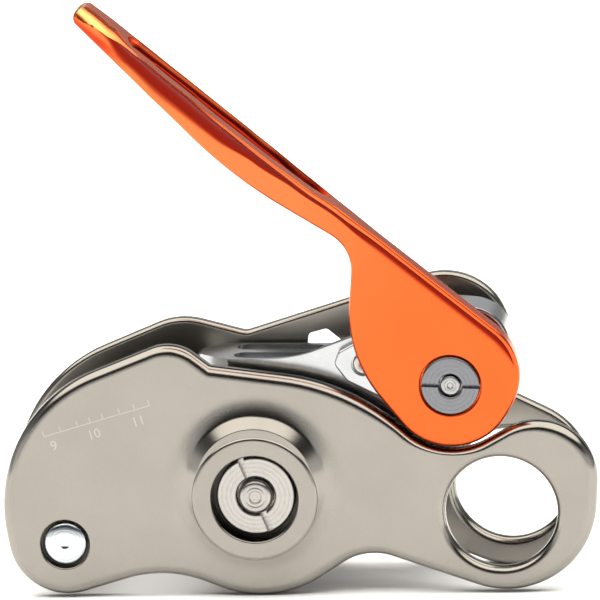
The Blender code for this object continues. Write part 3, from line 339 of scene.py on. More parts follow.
def rounded_sides(front, back, front_rounding, back_rounding):
    """The rings (inset, y) of a plate whose long edges are rounded."""
    rings = []
    for step in range(EDGE_STEPS + 1):
        angle = math.pi / 2 * step / EDGE_STEPS
        rings.append((front_rounding * (1 - math.sin(angle)), front + front_rounding * (1 - math.cos(angle))))
    for step in range(EDGE_STEPS + 1):
        angle = math.pi / 2 * (1 - step / EDGE_STEPS)
        rings.append((back_rounding * (1 - math.sin(angle)), back - back_rounding * (1 - math.cos(angle))))
    return rings


def finish_mesh(mesh, name):
    """Turns a bmesh into an object, with its faces facing out."""
    bmesh.ops.remove_doubles(mesh, verts=mesh.verts, dist=0.0015)
    bmesh.ops.dissolve_degenerate(mesh, dist=0.0005, edges=mesh.edges)
    bmesh.ops.recalc_face_normals(mesh, faces=mesh.faces)
    data = bpy.data.meshes.new(name)
    mesh.to_mesh(data)
    mesh.free()
    made = bpy.data.objects.new(name, data)
    bpy.context.scene.collection.objects.link(made)
    return made


def skin(name, rings):
    """A solid through rings of points with as many points each, filled at both ends."""
    mesh = bmesh.new()
    rows = [[mesh.verts.new(point) for point in ring] for ring in rings]
    mesh.faces.new(rows[0])
    mesh.faces.new(reversed(rows[-1]))
    for first, second in zip(rows, rows[1:]):
        for index in range(len(first)):
            mesh.faces.new((first[index - 1], second[index - 1], second[index], first[index]))
    return finish_mesh(mesh, name)


def plate(name, circles, front, back, front_rounding, back_rounding):
    """A flat plate with this outline, upright in the XZ plane."""
    rays = belt(circles)
    rings = []
    for inset, y in rounded_sides(front, back, front_rounding, back_rounding):
        ring = []
        for ray in rays:
            x, z = at_inset(ray, inset)
            ring.append((x, y, z))
        rings.append(ring)
    return skin(name, rings)


def prism(name, circles, front, back):
    """A plain extruded outline."""
    rays = belt(tuple((*circle, 1.0) for circle in circles))
    rings = []
    for y in (front, back):
        ring = []
        for ray in rays:
            x, z = at_inset(ray, 0.0)
            ring.append((x, y, z))
        rings.append(ring)
    return skin(name, rings)


def turned(name, profile, centre=AXLE, sides=TURNED_SIDES):
    """A profile of (radius, y) turned about the Y axis through centre."""
    mesh = bmesh.new()
    points = [mesh.verts.new((radius, y, 0.0)) for radius, y in profile]
    edges = [mesh.edges.new(pair) for pair in zip(points, points[1:])]
    if profile[0][0] > 0:
        edges.append(mesh.edges.new((points[-1], points[0])))
    bmesh.ops.spin(
        mesh,
        geom=points + edges,
        cent=(0.0, 0.0, 0.0),
        axis=(0.0, 1.0, 0.0),
        angle=math.tau,
        steps=sides,
        use_merge=True,
    )
    bmesh.ops.translate(mesh, vec=(centre[0], 0.0, centre[1]), verts=mesh.verts)
    return finish_mesh(mesh, name)


def disc(name, radius, front, back, centre=AXLE, sides=TURNED_SIDES):
    """A plain cylinder, used as a cutter."""
    return turned(name, ((0.0, front), (radius, front), (radius, back), (0.0, back)), centre, sides)


def block(name, size, place, turn):
    """A box cutter, turned about its own middle."""
    mesh = bmesh.new()
    bmesh.ops.create_cube(mesh, size=1.0)
    bmesh.ops.scale(mesh, vec=size, verts=mesh.verts)
    bmesh.ops.rotate(mesh, cent=(0.0, 0.0, 0.0), matrix=turn, verts=mesh.verts)
    bmesh.ops.translate(mesh, vec=place, verts=mesh.verts)
    return finish_mesh(mesh, name)


def arc_profile(centre_radius, centre_y, size, start, end, steps=EDGE_STEPS):
    """Profile points on an arc, from one angle to another in degrees."""
    points = []
    for step in range(steps + 1):
        angle = math.radians(start + (end - start) * step / steps)
        points.append((centre_radius + size * math.cos(angle), centre_y + size * math.sin(angle)))
    return points


def combine(target, tool, operation):
    """Cuts, joins or intersects target with tool, keeps the result and removes the tool."""
    modifier = target.modifiers.new(operation.lower(), "BOOLEAN")
    modifier.operation = operation
    modifier.object = tool
    bpy.context.view_layer.update()
    graph = bpy.context.evaluated_depsgraph_get()
    result = bpy.data.meshes.new_from_object(target.evaluated_get(graph), depsgraph=graph)
    target.modifiers.clear()
    target.data = result
    bpy.data.objects.remove(tool)
    return target


def cut(target, tool):
    return combine(target, tool, "DIFFERENCE")


def join(target, tool):
    return combine(target, tool, "UNION")


def y_turn(degrees):
    """A rotation about Y that turns anticlockwise as seen from the front."""
    return Matrix.Rotation(math.radians(-degrees), 3, "Y")


def flared_hole(radius, rounding, front, back):
    """A cutter for a round hole whose two rims are rounded."""
    rim = rounding - 0.02
    profile = [(0.0, front - 1.0), (radius + rounding, front - 1.0)]
    profile += arc_profile(radius + rounding, front + rim, rounding, 270, 180)
    profile += arc_profile(radius + rounding, back - rim, rounding, 180, 90)
    profile += [(radius + rounding, back + 1.0), (0.0, back + 1.0)]
    return profile


def mound_falls():
    """How far the mound has fallen by each distance from its middle, as (radius, fall)."""
    falls = [(MOUND_SLOPE[0][0], 0.0)]
    for (near, steep), (far, next_steep) in zip(MOUND_SLOPE, MOUND_SLOPE[1:]):
        for part in range(MOUND_PARTS):
            slope = steep + (next_steep - steep) * (part + 0.5) / MOUND_PARTS
            radius = near + (far - near) * (part + 1) / MOUND_PARTS
            falls.append((radius, falls[-1][1] + slope * (far - near) / MOUND_PARTS))
    return falls


def boss(sizes, face, way):
    """The boss round the main axle: a flat disc on a wider mound, whose middle lies above the axle."""
    top = face + way * sizes.boss_height
    steepest = math.radians(55.0)
    edge = sizes.boss_step / (1 - math.cos(steepest))
    profile = [(0.0, top)]
    for step in range(2 * EDGE_STEPS + 1):
        angle = steepest * step / (2 * EDGE_STEPS)
        radius = sizes.boss_top - edge * (math.sin(steepest) - math.sin(angle))
        profile.append((radius, top - way * edge * (1 - math.cos(angle))))
    profile += [(sizes.boss_top, face - way), (0.0, face - way)]
    falls = mound_falls()
    foot_radius, whole_fall = falls[-1]
    height = sizes.boss_height - sizes.boss_step
    mound = [(0.0, face + way * height)]
    for radius, fall in falls:
        left = 1 - fall / whole_fall
        mound.append((radius, face + way * (height * left - MOUND_SINK)))
    mound += [(foot_radius, face - way), (0.0, face - way)]
    middle = (AXLE[0], AXLE[1] + sizes.boss_foot_rise)
    return join(turned("boss", profile), turned("mound", mound, middle, 2 * TURNED_SIDES))


def rim_cutter(radius, edge, face, floor, way):
    """A counterbore cutter with a small rounded rim. Way is -1 for a front face and 1 for a rear face."""
    beyond = radius + edge + 0.3
    lift = 0.005
    profile = [(0.0, face + way), (beyond, face + way), (beyond, face + way * 2 * lift)]
    for step in range(EDGE_STEPS + 1):
        angle = math.pi / 2 * step / EDGE_STEPS
        rim = radius + edge * (1 - math.sin(angle))
        profile.append((rim, face - way * (edge * (1 - math.cos(angle)) - lift)))
    return profile + [(radius, floor), (0.0, floor)]


# Shader expressions

# A Mix node's colour sockets, by number because its other kinds of socket have the same names
MIX_COLOURS = (6, 7)
MIX_RESULT = 2


class Wire:
    """One output of a shader node. Arithmetic on it adds the nodes that work the result out."""

    def __init__(self, socket):
        self.socket = socket

    def maths(self, operation, *values):
        tree = self.socket.id_data
        return add_node(tree, "ShaderNodeMath", {"operation": operation}, dict(enumerate(values)))

    def __add__(self, other):
        return self.maths("ADD", self, other)

    def __sub__(self, other):
        return self.maths("SUBTRACT", self, other)

    def __mul__(self, other):
        return self.maths("MULTIPLY", self, other)

    def __pow__(self, other):
        return self.maths("POWER", self, other)

    def __rsub__(self, other):
        return self.maths("SUBTRACT", other, self)

    def __neg__(self):
        return self.maths("MULTIPLY", self, -1.0)

    def __abs__(self):
        return self.maths("ABSOLUTE", self)

    __radd__ = __add__
    __rmul__ = __mul__

    def sine(self):
        return self.maths("SINE", self)

    def most(self, other):
        return self.maths("MAXIMUM", self, other)

    def rises(self, low, high):
        """0 below low, 1 above high and smooth between them."""
        settings = {"interpolation_type": "SMOOTHSTEP", "data_type": "FLOAT", "clamp": True}
        values = {"Value": self, "From Min": low, "From Max": high, "To Min": 0.0, "To Max": 1.0}
        return add_node(self.socket.id_data, "ShaderNodeMapRange", settings, values)

    def split(self):
        """The three parts of a vector."""
        node = add_node(self.socket.id_data, "ShaderNodeSeparateXYZ", {}, {"Vector": self}).socket.node
        return [Wire(node.outputs[axis]) for axis in "XYZ"]

    def picks(self, first, second):
        """A colour that goes from first to second as this value goes from 0 to 1."""
        settings = {"data_type": "RGBA", "blend_type": "MIX", "clamp_factor": True}
        values = {"Factor": self, MIX_COLOURS[0]: first, MIX_COLOURS[1]: second}
        return add_node(self.socket.id_data, "ShaderNodeMix", settings, values, MIX_RESULT)


def add_node(tree, kind, settings, values, output=0):
    """Adds a node with these settings, then these values or links, and returns one of its outputs."""
    node = tree.nodes.new(kind)
    for name, setting in settings.items():
        setattr(node, name, setting)
    for key, value in values.items():
        socket = node.inputs[key]
        if isinstance(value, Wire):
            tree.links.new(value.socket, socket)
        elif hasattr(value, "__len__") and len(value) == 3 and socket.type == "RGBA":
            socket.default_value = (*value, 1.0)
        else:
            socket.default_value = value
    return Wire(node.outputs[output])


class Finish:
    """A material under construction: its node tree, its shader and the coordinates that it uses."""

    def __init__(self, name, roughness, metallic=1.0):
        self.material = bpy.data.materials.new(name)
        self.material.use_nodes = True
        self.tree = self.material.node_tree
        self.shader = self.tree.nodes["Principled BSDF"]
        self.shader.inputs["Roughness"].default_value = roughness
        self.shader.inputs["Metallic"].default_value = metallic
        places = self.tree.nodes.new("ShaderNodeTexCoord")
        self.place = Wire(places.outputs["Object"])
        self.facing = Wire(places.outputs["Normal"])

    def noise(self, size_mm, detail=2.0, roughness=0.5, distortion=0.0):
        """Noise whose features are about this many millimetres across, from 0 to 1."""
        values = {
            "Vector": self.place,
            "Scale": 1.0 / (size_mm * MM),
            "Detail": detail,
            "Roughness": roughness,
            "Distortion": distortion,
        }
        return add_node(self.tree, "ShaderNodeTexNoise", {"noise_dimensions": "3D"}, values)

    def grain(self, size_mm):
        """Sharp-edged pits of about this size, from 0 in a pit to 1 on the ridges."""
        settings = {"voronoi_dimensions": "3D", "feature": "F1"}
        values = {"Vector": self.place, "Scale": 1 / (size_mm * MM)}
        return add_node(self.tree, "ShaderNodeTexVoronoi", settings, values)

    def edges(self, low, high):
        """1 on sharp convex edges, from the shape itself."""
        shape = self.tree.nodes.new("ShaderNodeNewGeometry")
        return Wire(shape.outputs["Pointiness"]).rises(low, high)

    def bump(self, height, depth_mm, strength=1.0):
        values = {"Strength": strength, "Distance": depth_mm * MM, "Height": height}
        normal = add_node(self.tree, "ShaderNodeBump", {}, values)
        self.tree.links.new(normal.socket, self.shader.inputs["Normal"])

    def feed(self, socket, value):
        """Sets or links one of the shader's sockets."""
        if isinstance(value, Wire):
            self.tree.links.new(value.socket, self.shader.inputs[socket])
        elif hasattr(value, "__len__"):
            self.shader.inputs[socket].default_value = (*value, 1.0)
        else:
            self.shader.inputs[socket].default_value = value

    def from_axis(self, centre):
        """The distance in millimetres from an axis along Y through this place round the axle."""
        spot = PLACE @ Vector((centre[0], 0.0, centre[1]))
        x, _, z = self.place.split()
        away_x = (x - spot.x) * (1 / MM)
        away_z = (z - spot.z) * (1 / MM)
        return (away_x * away_x + away_z * away_z) ** 0.5


def toned(shade, share):
    """A colour made darker or brighter, kept within 1."""
    return tuple(min(1.0, value * share) for value in shade)


def satin_plate(name):
    """Bead-blasted forged alloy: matt flat faces, smoother and brighter rounded edges, faint wear, and
    painted shade in the gaps round the axle nut and the rivet.
    """
    looks = bpy.context.scene.belay_finishes
    made = Finish(name, 0.3)
    _, facing_y, _ = made.facing.split()
    flat = abs(facing_y).rises(0.90, 0.995)
    cloud = made.noise(14.0, 3.0, 0.55)
    fine = made.noise(0.16, 2.0, 0.6)
    worn = made.edges(0.53, 0.60) * made.noise(3.0, 4.0, 0.65).rises(0.40, 0.68) * (1.0 - flat)
    base = (cloud * 0.5 + fine * 0.5).rises(0.30, 0.72)
    face = base.picks(toned(looks.plate, 0.93), toned(looks.plate, 1.07))
    metal = worn.picks(face, tuple(looks.plate_edge))
    counterbore = in_mm(bpy.context.scene.belay_plates).counterbore
    # Painted shade: the gaps round the axle nut and the rivet go near black
    nut_gap_shade = 1.0 - made.from_axis(AXLE).rises(counterbore - 0.05, counterbore + 0.2)
    rivet_gap_shade = 1.0 - made.from_axis(POST).rises(RIVET_SEAT - 0.1, RIVET_SEAT + 0.1)
    made.feed("Base Color", (nut_gap_shade.most(rivet_gap_shade) * 0.94).picks(metal, PAINTED_GAP_SHADE))
    scuffs = made.noise(5.0, 5.0, 0.7, 0.6).rises(0.58, 0.75)
    rough = 0.17 + flat * 0.13 + (cloud - 0.5) * 0.06 + (fine - 0.5) * 0.08 + scuffs * 0.04 - worn * 0.04
    made.feed("Roughness", rough)
    made.bump(fine * 0.6 + made.grain(0.22) * 0.4, 0.012, 0.35)
    return made.material


def orange_anodised(name):
    """Anodised forged alloy: deep orange with a fine satin grain, painted shade in the hollows, the cove, the
    pocket and under the tip, and a painted highlight on the tip.
    """
    looks = bpy.context.scene.belay_finishes
    made = Finish(name, 0.26)
    fine = made.noise(0.12, 2.0, 0.6)
    cloud = made.noise(11.0, 2.0, 0.5)
    _, tip_end, angle = handle_edge()
    out = (PLACE.to_3x3() @ Vector((math.cos(angle), 0.0, math.sin(angle)))).normalized()
    edge = PLACE @ tip_end
    facing_x, facing_y, facing_z = made.facing.split()
    x, y, z = made.place.split()
    flat = abs(facing_y).rises(0.90, 0.995)
    up = facing_x * out.x + facing_z * out.z
    below = (edge.dot(out) - x * out.x - z * out.z) * (1 / MM)
    ahead = (PLACE.translation.y - y) * (1 / MM) - heights().inner - in_mm(bpy.context.scene.belay_handle).web
    way = Vector((out.z, 0.0, -out.x))
    along = (x * way.x + z * way.z - edge.dot(way)) * (1 / MM)
    # Below is from the top edge, ahead from the web's front face and along from the tip, in millimetres
    # Painted shade: concave faces are drawn towards the darker orange; the mask also roughens them a little
    hollow = (1.0 - made.edges(0.42, 0.50)) * (1.0 - flat)
    # Painted shade: the cove under the flange and the grip lip's front face go dark red
    grip = 1.0 - along.rises(24.0, 33.0)
    lip_front_shade = grip * along.rises(10.0, 15.0) * ahead.rises(0.9, 1.3) * (1.0 - up.rises(0.80, 0.95))
    cove = ((-up).rises(0.0, 0.30) * ahead.rises(0.0, 0.12)).most(lip_front_shade)
    # Painted highlight: the tip's rounding, where it tilts up towards the softbox, goes pale yellow orange
    tip_highlight = (1.0 - along.rises(2.0, 10.0)) * up.rises(0.42, 0.70) * (1.0 - up.rises(0.76, 0.93))
    web_face = flat * (ahead + 1.0).rises(0.0, 0.4)
    rear_face = facing_y.rises(0.3, 0.6) * (1.0 - (ahead + 6.6).rises(0.0, 0.3))
    # Painted shade: the floor of the grip's pocket goes dark red
    pocket = below.rises(0.5, 0.9) * (1.0 - below.rises(2.2, 2.6)) * up.rises(-0.3, -0.1)
    pocket = pocket * (1.0 - ahead.rises(0.7, 1.0)) * (ahead + 8.0).rises(0.0, 0.4)
    pocket = pocket * (1.0 - web_face) * (1.0 - rear_face)
    pocket = pocket * along.rises(7.0, 9.0) * (1.0 - along.rises(58.0, 60.0))
    worn = made.edges(0.56, 0.64) * made.noise(2.2, 4.0, 0.7).rises(0.55, 0.72) * (1.0 - flat)
    dyed = along.rises(45.0, 85.0).picks(tuple(looks.orange_pale), tuple(looks.orange))
    base = (hollow * 0.7 + (cloud - 0.5) * 0.25).picks(dyed, tuple(looks.orange_tone_and_hollow_shade))
    base = pocket.picks(cove.picks(base, tuple(looks.orange_shade)), tuple(looks.orange_pocket_shade))
    # Painted shade: the bottom of the tip's front face goes dark red
    tip_shade = (1.0 - along.rises(5.0, 13.0)) * below.rises(1.9, 3.0)
    base = tip_highlight.picks((tip_shade * 0.85).picks(base, tuple(looks.orange_tip_shade)), tuple(looks.orange_tip_highlight))
    made.feed("Base Color", (worn * 0.35).picks(base, (0.85, 0.33, 0.16)))
    made.feed("Roughness", 0.225 + (fine - 0.5) * 0.09 + (cloud - 0.5) * 0.05 + hollow * 0.03)
    made.feed("Metallic", 0.93)
    made.bump(fine, 0.010, 0.30)
    return made.material


def turned_steel(name, centre, tint=None):
    """Lathe-turned steel: fine rings round its own axis, brighter on the crests, with painted shade in its
    creases.
    """
    looks = bpy.context.scene.belay_finishes
    base = tuple(tint or looks.steel)
    made = Finish(name, 0.26)
    away = made.from_axis(centre)
    rings = (away * (math.tau / 0.17) + made.noise(0.9, 2.0) * 2.5).sine() * 0.5 + 0.5
    broad = (away * (math.tau / 0.83) + made.noise(4.0) * 1.5).sine() * 0.5 + 0.5
    marks = rings * 0.65 + broad * 0.35
    # Painted shade: creases and hollows of the turned pieces go near black
    deep = 1.0 - made.edges(0.38, 0.46)
    worn = made.edges(0.54, 0.62)
    metal = (worn * 0.6).picks(marks.picks(toned(base, 0.84), toned(base, 1.12)), toned(base, 1.45))
    made.feed("Base Color", (deep * 0.8).picks(metal, PAINTED_GAP_SHADE))
    made.feed("Roughness", 0.22 + (1.0 - marks) * 0.10 + made.noise(1.8, 3.0).rises(0.45, 0.7) * 0.05)
    made.bump(marks, 0.010, 0.35)
    return made.material


def bright_steel(name):
    """Investment-cast stainless steel, tumbled bright: soft grain and small scratches along the arm."""
    looks = bpy.context.scene.belay_finishes
    made = Finish(name, 0.24)
    grain = made.noise(0.35, 3.0, 0.6)
    cloud = made.noise(6.0, 3.0, 0.6)
    scratch = made.noise(1.4, 6.0, 0.8, 1.2).rises(0.60, 0.66)
    base = (grain * 0.5 + cloud * 0.5).rises(0.3, 0.7).picks(toned(looks.cast, 0.86), tuple(looks.cast))
    made.feed("Base Color", (scratch * 0.3).picks(base, (0.9, 0.9, 0.9)))
    made.feed("Roughness", 0.19 + (cloud - 0.5) * 0.12 + (grain - 0.5) * 0.06 + scratch * 0.05)
    made.bump(grain * 0.7 + cloud * 0.3, 0.020, 0.30)
    return made.material


def zinc_plated(name, centre):
    """Bright zinc over a pressed head: bluish, with faint rings from the rivet set."""
    looks = bpy.context.scene.belay_finishes
    made = Finish(name, 0.2)
    away = made.from_axis(centre)
    rings = (away * (math.tau / 0.55) + made.noise(2.0) * 2.0).sine() * 0.5 + 0.5
    spots = made.noise(0.5, 3.0, 0.6)
    tone = (spots * 0.6 + rings * 0.4).rises(0.3, 0.75)
    base = tone.picks(toned(looks.zinc, 0.82), tuple(looks.zinc))
    worn = made.edges(0.55, 0.63)
    made.feed("Base Color", (worn * 0.4).picks(base, (0.93, 0.93, 0.92)))
    made.feed("Roughness", 0.15 + (1.0 - tone) * 0.10)
    made.bump(spots * 0.6 + rings * 0.4, 0.02, 0.30)
    return made.material


def bronze_bush(name, centre):
    """Sintered bronze, darker where oil sits in its pores."""
    looks = bpy.context.scene.belay_finishes
    made = Finish(name, 0.36)
    pores = made.grain(0.20)
    oil = made.noise(2.5, 3.0, 0.6).rises(0.4, 0.65)
    rings = (made.from_axis(centre) * (math.tau / 0.25)).sine() * 0.5 + 0.5
    made.feed("Base Color", (oil * 0.5 + rings * 0.2).picks(tuple(looks.bronze), toned(looks.bronze, 0.6)))
    made.feed("Roughness", 0.32 + pores * 0.12 - oil * 0.06)
    made.bump(pores, 0.02, 0.30)
    return made.material


def spring_wire(name):
    """Drawn spring wire with an oily film and fine drawing lines."""
    looks = bpy.context.scene.belay_finishes
    made = Finish(name, 0.28)
    drawn = made.noise(0.25, 4.0, 0.7)
    oil = made.noise(3.0, 2.0).rises(0.4, 0.6)
    made.feed("Base Color", oil.picks(tuple(looks.spring), toned(looks.spring, 0.7)))
    made.feed("Roughness", 0.24 + (drawn - 0.5) * 0.12 - oil * 0.04)
    made.bump(drawn, 0.012, 0.30)
    return made.material


def etched_mark(name):
    """Laser-etched metal, paler and more matt than the plate round it."""
    looks = bpy.context.scene.belay_finishes
    made = Finish(name, 0.5, 0.6)
    dots = made.noise(0.14, 2.0, 0.6)
    made.feed("Base Color", dots.rises(0.35, 0.65).picks(toned(looks.mark, 0.9), tuple(looks.mark)))
    made.feed("Roughness", 0.42 + (dots - 0.5) * 0.2)
    made.bump(dots, 0.01, 0.30)
    return made.material


# Putting pieces into the frame


def tidy_mesh(made, angle):
    """Merges Boolean slivers, smooths the faces and keeps real edges crisp."""
    mesh = bmesh.new()
    mesh.from_mesh(made.data)
    bmesh.ops.remove_doubles(mesh, verts=mesh.verts, dist=0.003)
    bmesh.ops.dissolve_degenerate(mesh, dist=0.002, edges=mesh.edges)
    loose = [vertex for vertex in mesh.verts if not vertex.link_faces]
    bmesh.ops.delete(mesh, geom=loose, context="VERTS")
    mesh.to_mesh(made.data)
    mesh.free()
    made.data.shade_smooth()
    made.data.set_sharp_from_angle(angle=math.radians(angle))


def put_in(made, body, material, nodes=(), angle=32.0):
    """Gives a piece its finish and its place, and makes it ride in place of its CAD nodes."""
    tidy_mesh(made, angle)
    made.data.transform(PLACE)
    made.data.materials.clear()
    made.data.materials.append(material)
    weighted = made.modifiers.new("even_shading", "WEIGHTED_NORMAL")
    weighted.keep_sharp = True
    weighted.weight = 60
    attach(made, body)
    if nodes:
        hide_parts(*nodes)
    return made


def paint_node(name, material):
    """Gives a CAD node that stays in view its detailed finish."""
    node = frame["nodes"][name]
    node.data.materials.clear()
    node.data.materials.append(material)


# Side plates

# Rims, radii and depths of the plates' holes, in millimetres
NUT_RIM = 0.45
BUSH_BORE = 5.7
AXLE_BORE = 4.3
RIVET_RIM = 0.35
RIVET_SEAT_DEPTH = 2.4
STUD_SEAT = 5.7
STUD_RIM = 0.3
STUD_SEAT_DEPTH = 2.0
STUD_BORE = 3.3


def heights():
    """Heights along Y that several pieces share, in millimetres."""
    sizes = in_mm(bpy.context.scene.belay_plates)
    inner = sizes.rope_space / 2
    outer = inner + sizes.thickness
    ledge = inner + sizes.ledge
    return SimpleNamespace(inner=inner, outer=outer, ledge=ledge, boss=outer + sizes.boss_height)


def front_plate_shape():
    sizes = in_mm(bpy.context.scene.belay_plates)
    y = heights()
    roundings = (sizes.outer_rounding, sizes.inner_rounding)
    made = plate("swinging_plate", FRONT_OUTLINE, -y.outer, -y.inner, *roundings)
    join(made, boss(sizes, -y.outer, -1))
    cut(made, turned("counterbore", rim_cutter(sizes.counterbore, NUT_RIM, -y.boss, -y.ledge, -1)))
    cut(made, disc("bore", BUSH_BORE, -y.boss - 1, 0.0))
    cut(made, turned("eye", flared_hole(sizes.eye_bore / 2, sizes.eye_rim, -y.outer, -y.inner), EYE))
    recess = rim_cutter(RIVET_SEAT, RIVET_RIM, -y.outer, -y.outer + RIVET_SEAT_DEPTH, -1)
    cut(made, turned("latch_recess", recess, POST, SMALL_SIDES))
    return cut(made, disc("latch_bore", RIVET_BORE, -y.outer - 1, 0.0, POST, SMALL_SIDES))


def back_plate_shape():
    sizes = in_mm(bpy.context.scene.belay_plates)
    y = heights()
    made = plate("fixed_plate", BACK_OUTLINE, y.inner, y.outer, sizes.inner_rounding, sizes.outer_rounding)
    join(made, boss(sizes, y.outer, 1))
    cut(made, turned("counterbore", rim_cutter(sizes.counterbore, NUT_RIM, y.boss, y.ledge, 1)))
    cut(made, disc("bore", AXLE_BORE, 0.0, y.boss + 1))
    cut(made, turned("eye", flared_hole(sizes.eye_bore / 2, sizes.eye_rim, y.inner, y.outer), EYE))
    cut(made, prism("window", WINDOW, 0.0, y.outer + 1))
    stud_seat = rim_cutter(STUD_SEAT, STUD_RIM, y.outer, y.outer - STUD_SEAT_DEPTH, 1)
    cut(made, turned("stud_seat", stud_seat, PIVOT))
    cut(made, disc("stud_bore", STUD_BORE, 0.0, y.outer + 1, PIVOT, SMALL_SIDES))
    post_seat = rim_cutter(RIVET_SEAT, RIVET_RIM, y.outer, y.outer - RIVET_SEAT_DEPTH, 1)
    cut(made, turned("post_seat", post_seat, POST, SMALL_SIDES))
    return cut(made, disc("post_bore", RIVET_BORE, 0.0, y.outer + 1, POST, SMALL_SIDES))


class BELAY_OT_side_plates(bpy.types.Operator):
    """Build the two forged side plates"""

    bl_idname = "belay.side_plates"
    bl_label = "Side plates"

    def execute(self, context):
        finish = satin_plate("satin_plate")
        put_in(front_plate_shape(), "front_plate_group", finish, ["front_plate"], 40.0)
        put_in(back_plate_shape(), "back_plate_group", finish, ["back_plate"], 40.0)
        return {"FINISHED"}


# Handle


def flange_at(from_tip):
    """The flange's dip, overhang, rear edge, front face and cove, eased between the stations."""
    for first, second in zip(FLANGE, FLANGE[1:]):
        if from_tip <= second[0]:
            part = max(0.0, (from_tip - first[0]) / (second[0] - first[0]))
            ease = (1 - math.cos(math.pi * part)) / 2
            return [low + (high - low) * ease for low, high in zip(first[1:], second[1:])]
    return list(FLANGE[-1][1:])


def lip_section(sizes, inner, from_tip, share):
    """The flange's cross-section as (inset, y). Share says how far the lip stands out of the web."""
    dip, overhang, rear, face_height, cove = flange_at(from_tip)
    web = -(inner + sizes.web)
    near = web - overhang * share
    proud = 0.12
    overlap = 0.01
    rear_rounding = 0.6
    top = dip - proud * share
    under = top + face_height
    corner = min(0.1, face_height / 3, overhang * share / 3)
    fall = min(sizes.lip_edge, face_height / 2)
    depth = web + overlap - near - corner
    points = [(under + cove, web + 0.5)]
    for step in range(2 * EDGE_STEPS + 1):
        angle = math.pi / 4 * step / EDGE_STEPS
        points.append((under + cove * (1 - math.sin(angle)), web + overlap - depth * (1 - math.cos(angle))))
    corner_steps = 3
    for step in range(1, corner_steps + 1):
        angle = math.pi / 2 * step / corner_steps
        points.append((under - corner * (1 - math.cos(angle)), near + corner * (1 - math.sin(angle))))
    for step in range(EDGE_STEPS + 1):
        angle = math.pi / 2 * step / EDGE_STEPS
        points.append((top + fall * (1 - math.sin(angle)), near + sizes.lip_edge * (1 - math.cos(angle))))
    for step in range(EDGE_STEPS + 1):
        angle = math.pi / 2 * (1 - step / EDGE_STEPS)
        behind = rear - rear_rounding * (1 - math.cos(angle))
        points.append((top + rear_rounding * (1 - math.sin(angle)), behind))
    wing = dip + sizes.wing_thickness
    inside = -inner - 0.5
    return points + [(wing - 0.5, rear), (wing, min(rear, inside) - 0.4), (wing + 0.8, inside)]


def handle_edge():
    """The straight top edge of the handle: its hub end, its tip end and its outward angle."""
    angle = tangent_angles(HANDLE_OUTLINE)[1]
    ends = []
    for x, z, radius, _ in HANDLE_OUTLINE[1:3]:
        ends.append(Vector((x + radius * math.cos(angle), 0.0, z + radius * math.sin(angle))))
    return ends[0], ends[1], angle


def handle_lip(sizes, inner):
    """The flange along the handle's top edge: it fades in on the hub and closes at the tip."""
    hub_end, tip_end, angle = handle_edge()
    total = (tip_end - hub_end).length
    x, z, radius, _ = HANDLE_OUTLINE[1]
    start = math.radians(10.0)
    fade = 20
    first_share = 0.03
    stations = []
    for step in range(fade):
        part = step / fade
        ray = (x, z, radius, start + (angle - start) * part, 1.0)
        stations.append((ray, total, math.sin(math.pi / 2 * (first_share + (1 - first_share) * part))))
    out = Vector((math.cos(angle), 0.0, math.sin(angle)))
    along = 72
    for step in range(along + 1):
        from_tip = total * (1 - step / along)
        centre = tip_end.lerp(hub_end, from_tip / total) - out * radius
        stations.append(((centre.x, centre.z, radius, angle, 1.0), from_tip, 1.0))
    rings = []
    for ray, from_tip, share in stations:
        ring = []
        for inset, y in lip_section(sizes, inner, from_tip, share):
            place_x, place_z = at_inset(ray, inset)
            ring.append((place_x, y, place_z))
        rings.append(ring)
    return skin("lip", rings + closing_rings(rings[-1], hub_end, tip_end))


def closing_rings(last, hub_end, tip_end):
    """Ever smaller copies of the last ring about the tip's own centre, which round the tip off."""
    x, z, radius, _ = HANDLE_OUTLINE[2]
    depths = [y for _, y, _ in last]
    middle = Vector((x, (min(depths) + max(depths)) / 2, z))
    way = (tip_end - hub_end).normalized()
    last_angle = 84.0
    steps = 10
    rings = []
    for step in range(1, steps + 1):
        angle = math.radians(last_angle * step / steps)
        ahead = way * radius * math.sin(angle)
        rings.append([tuple(middle + (Vector(point) - middle) * math.cos(angle) + ahead) for point in last])
    return rings


def tip_rounding(sizes, inner):
    """A cutter that rounds the front top edge near the tip and runs out before the pocket."""
    hub_end, tip_end, angle = handle_edge()
    way = (hub_end - tip_end).normalized()
    out = Vector((math.cos(angle), 0.0, math.sin(angle)))
    clear = 3.0  # how far the cutter reaches outside the handle
    lead = 0.25  # how far it starts before the tip, as a share of the rounding's length
    hold = 0.375  # where the rounding begins to run out, as a share of its length
    least = 0.2  # radius where it has run out
    lift = 0.3  # how far it has left the metal by then
    steps = 48
    rings = []
    for step in range(steps + 1):
        along = sizes.tip_length * ((1 + lead) * step / steps - lead)
        part = min(1.0, max(0.0, (along / sizes.tip_length - hold) / (1 - hold)))
        ease = (1 - math.cos(math.pi * part)) / 2
        radius = sizes.tip_rounding * (1 - ease) + least * ease
        dip, overhang, _, _, _ = flange_at(max(0.0, along))
        top = dip - lift * ease
        front = -(inner + sizes.web) - overhang - lift * ease
        ring = []
        corners = [(top - clear, front + radius), (top - clear, front - clear), (top + radius, front - clear)]
        for turn in range(EDGE_STEPS * 2 + 1):
            bend = math.pi / 2 * turn / (EDGE_STEPS * 2)
            corners.append((top + radius * (1 - math.sin(bend)), front + radius * (1 - math.cos(bend))))
        for inset, y in corners:
            place = tip_end + way * along - out * inset
            ring.append((place.x, y, place.z))
        rings.append(ring)
    return skin("tip_rounding", rings)


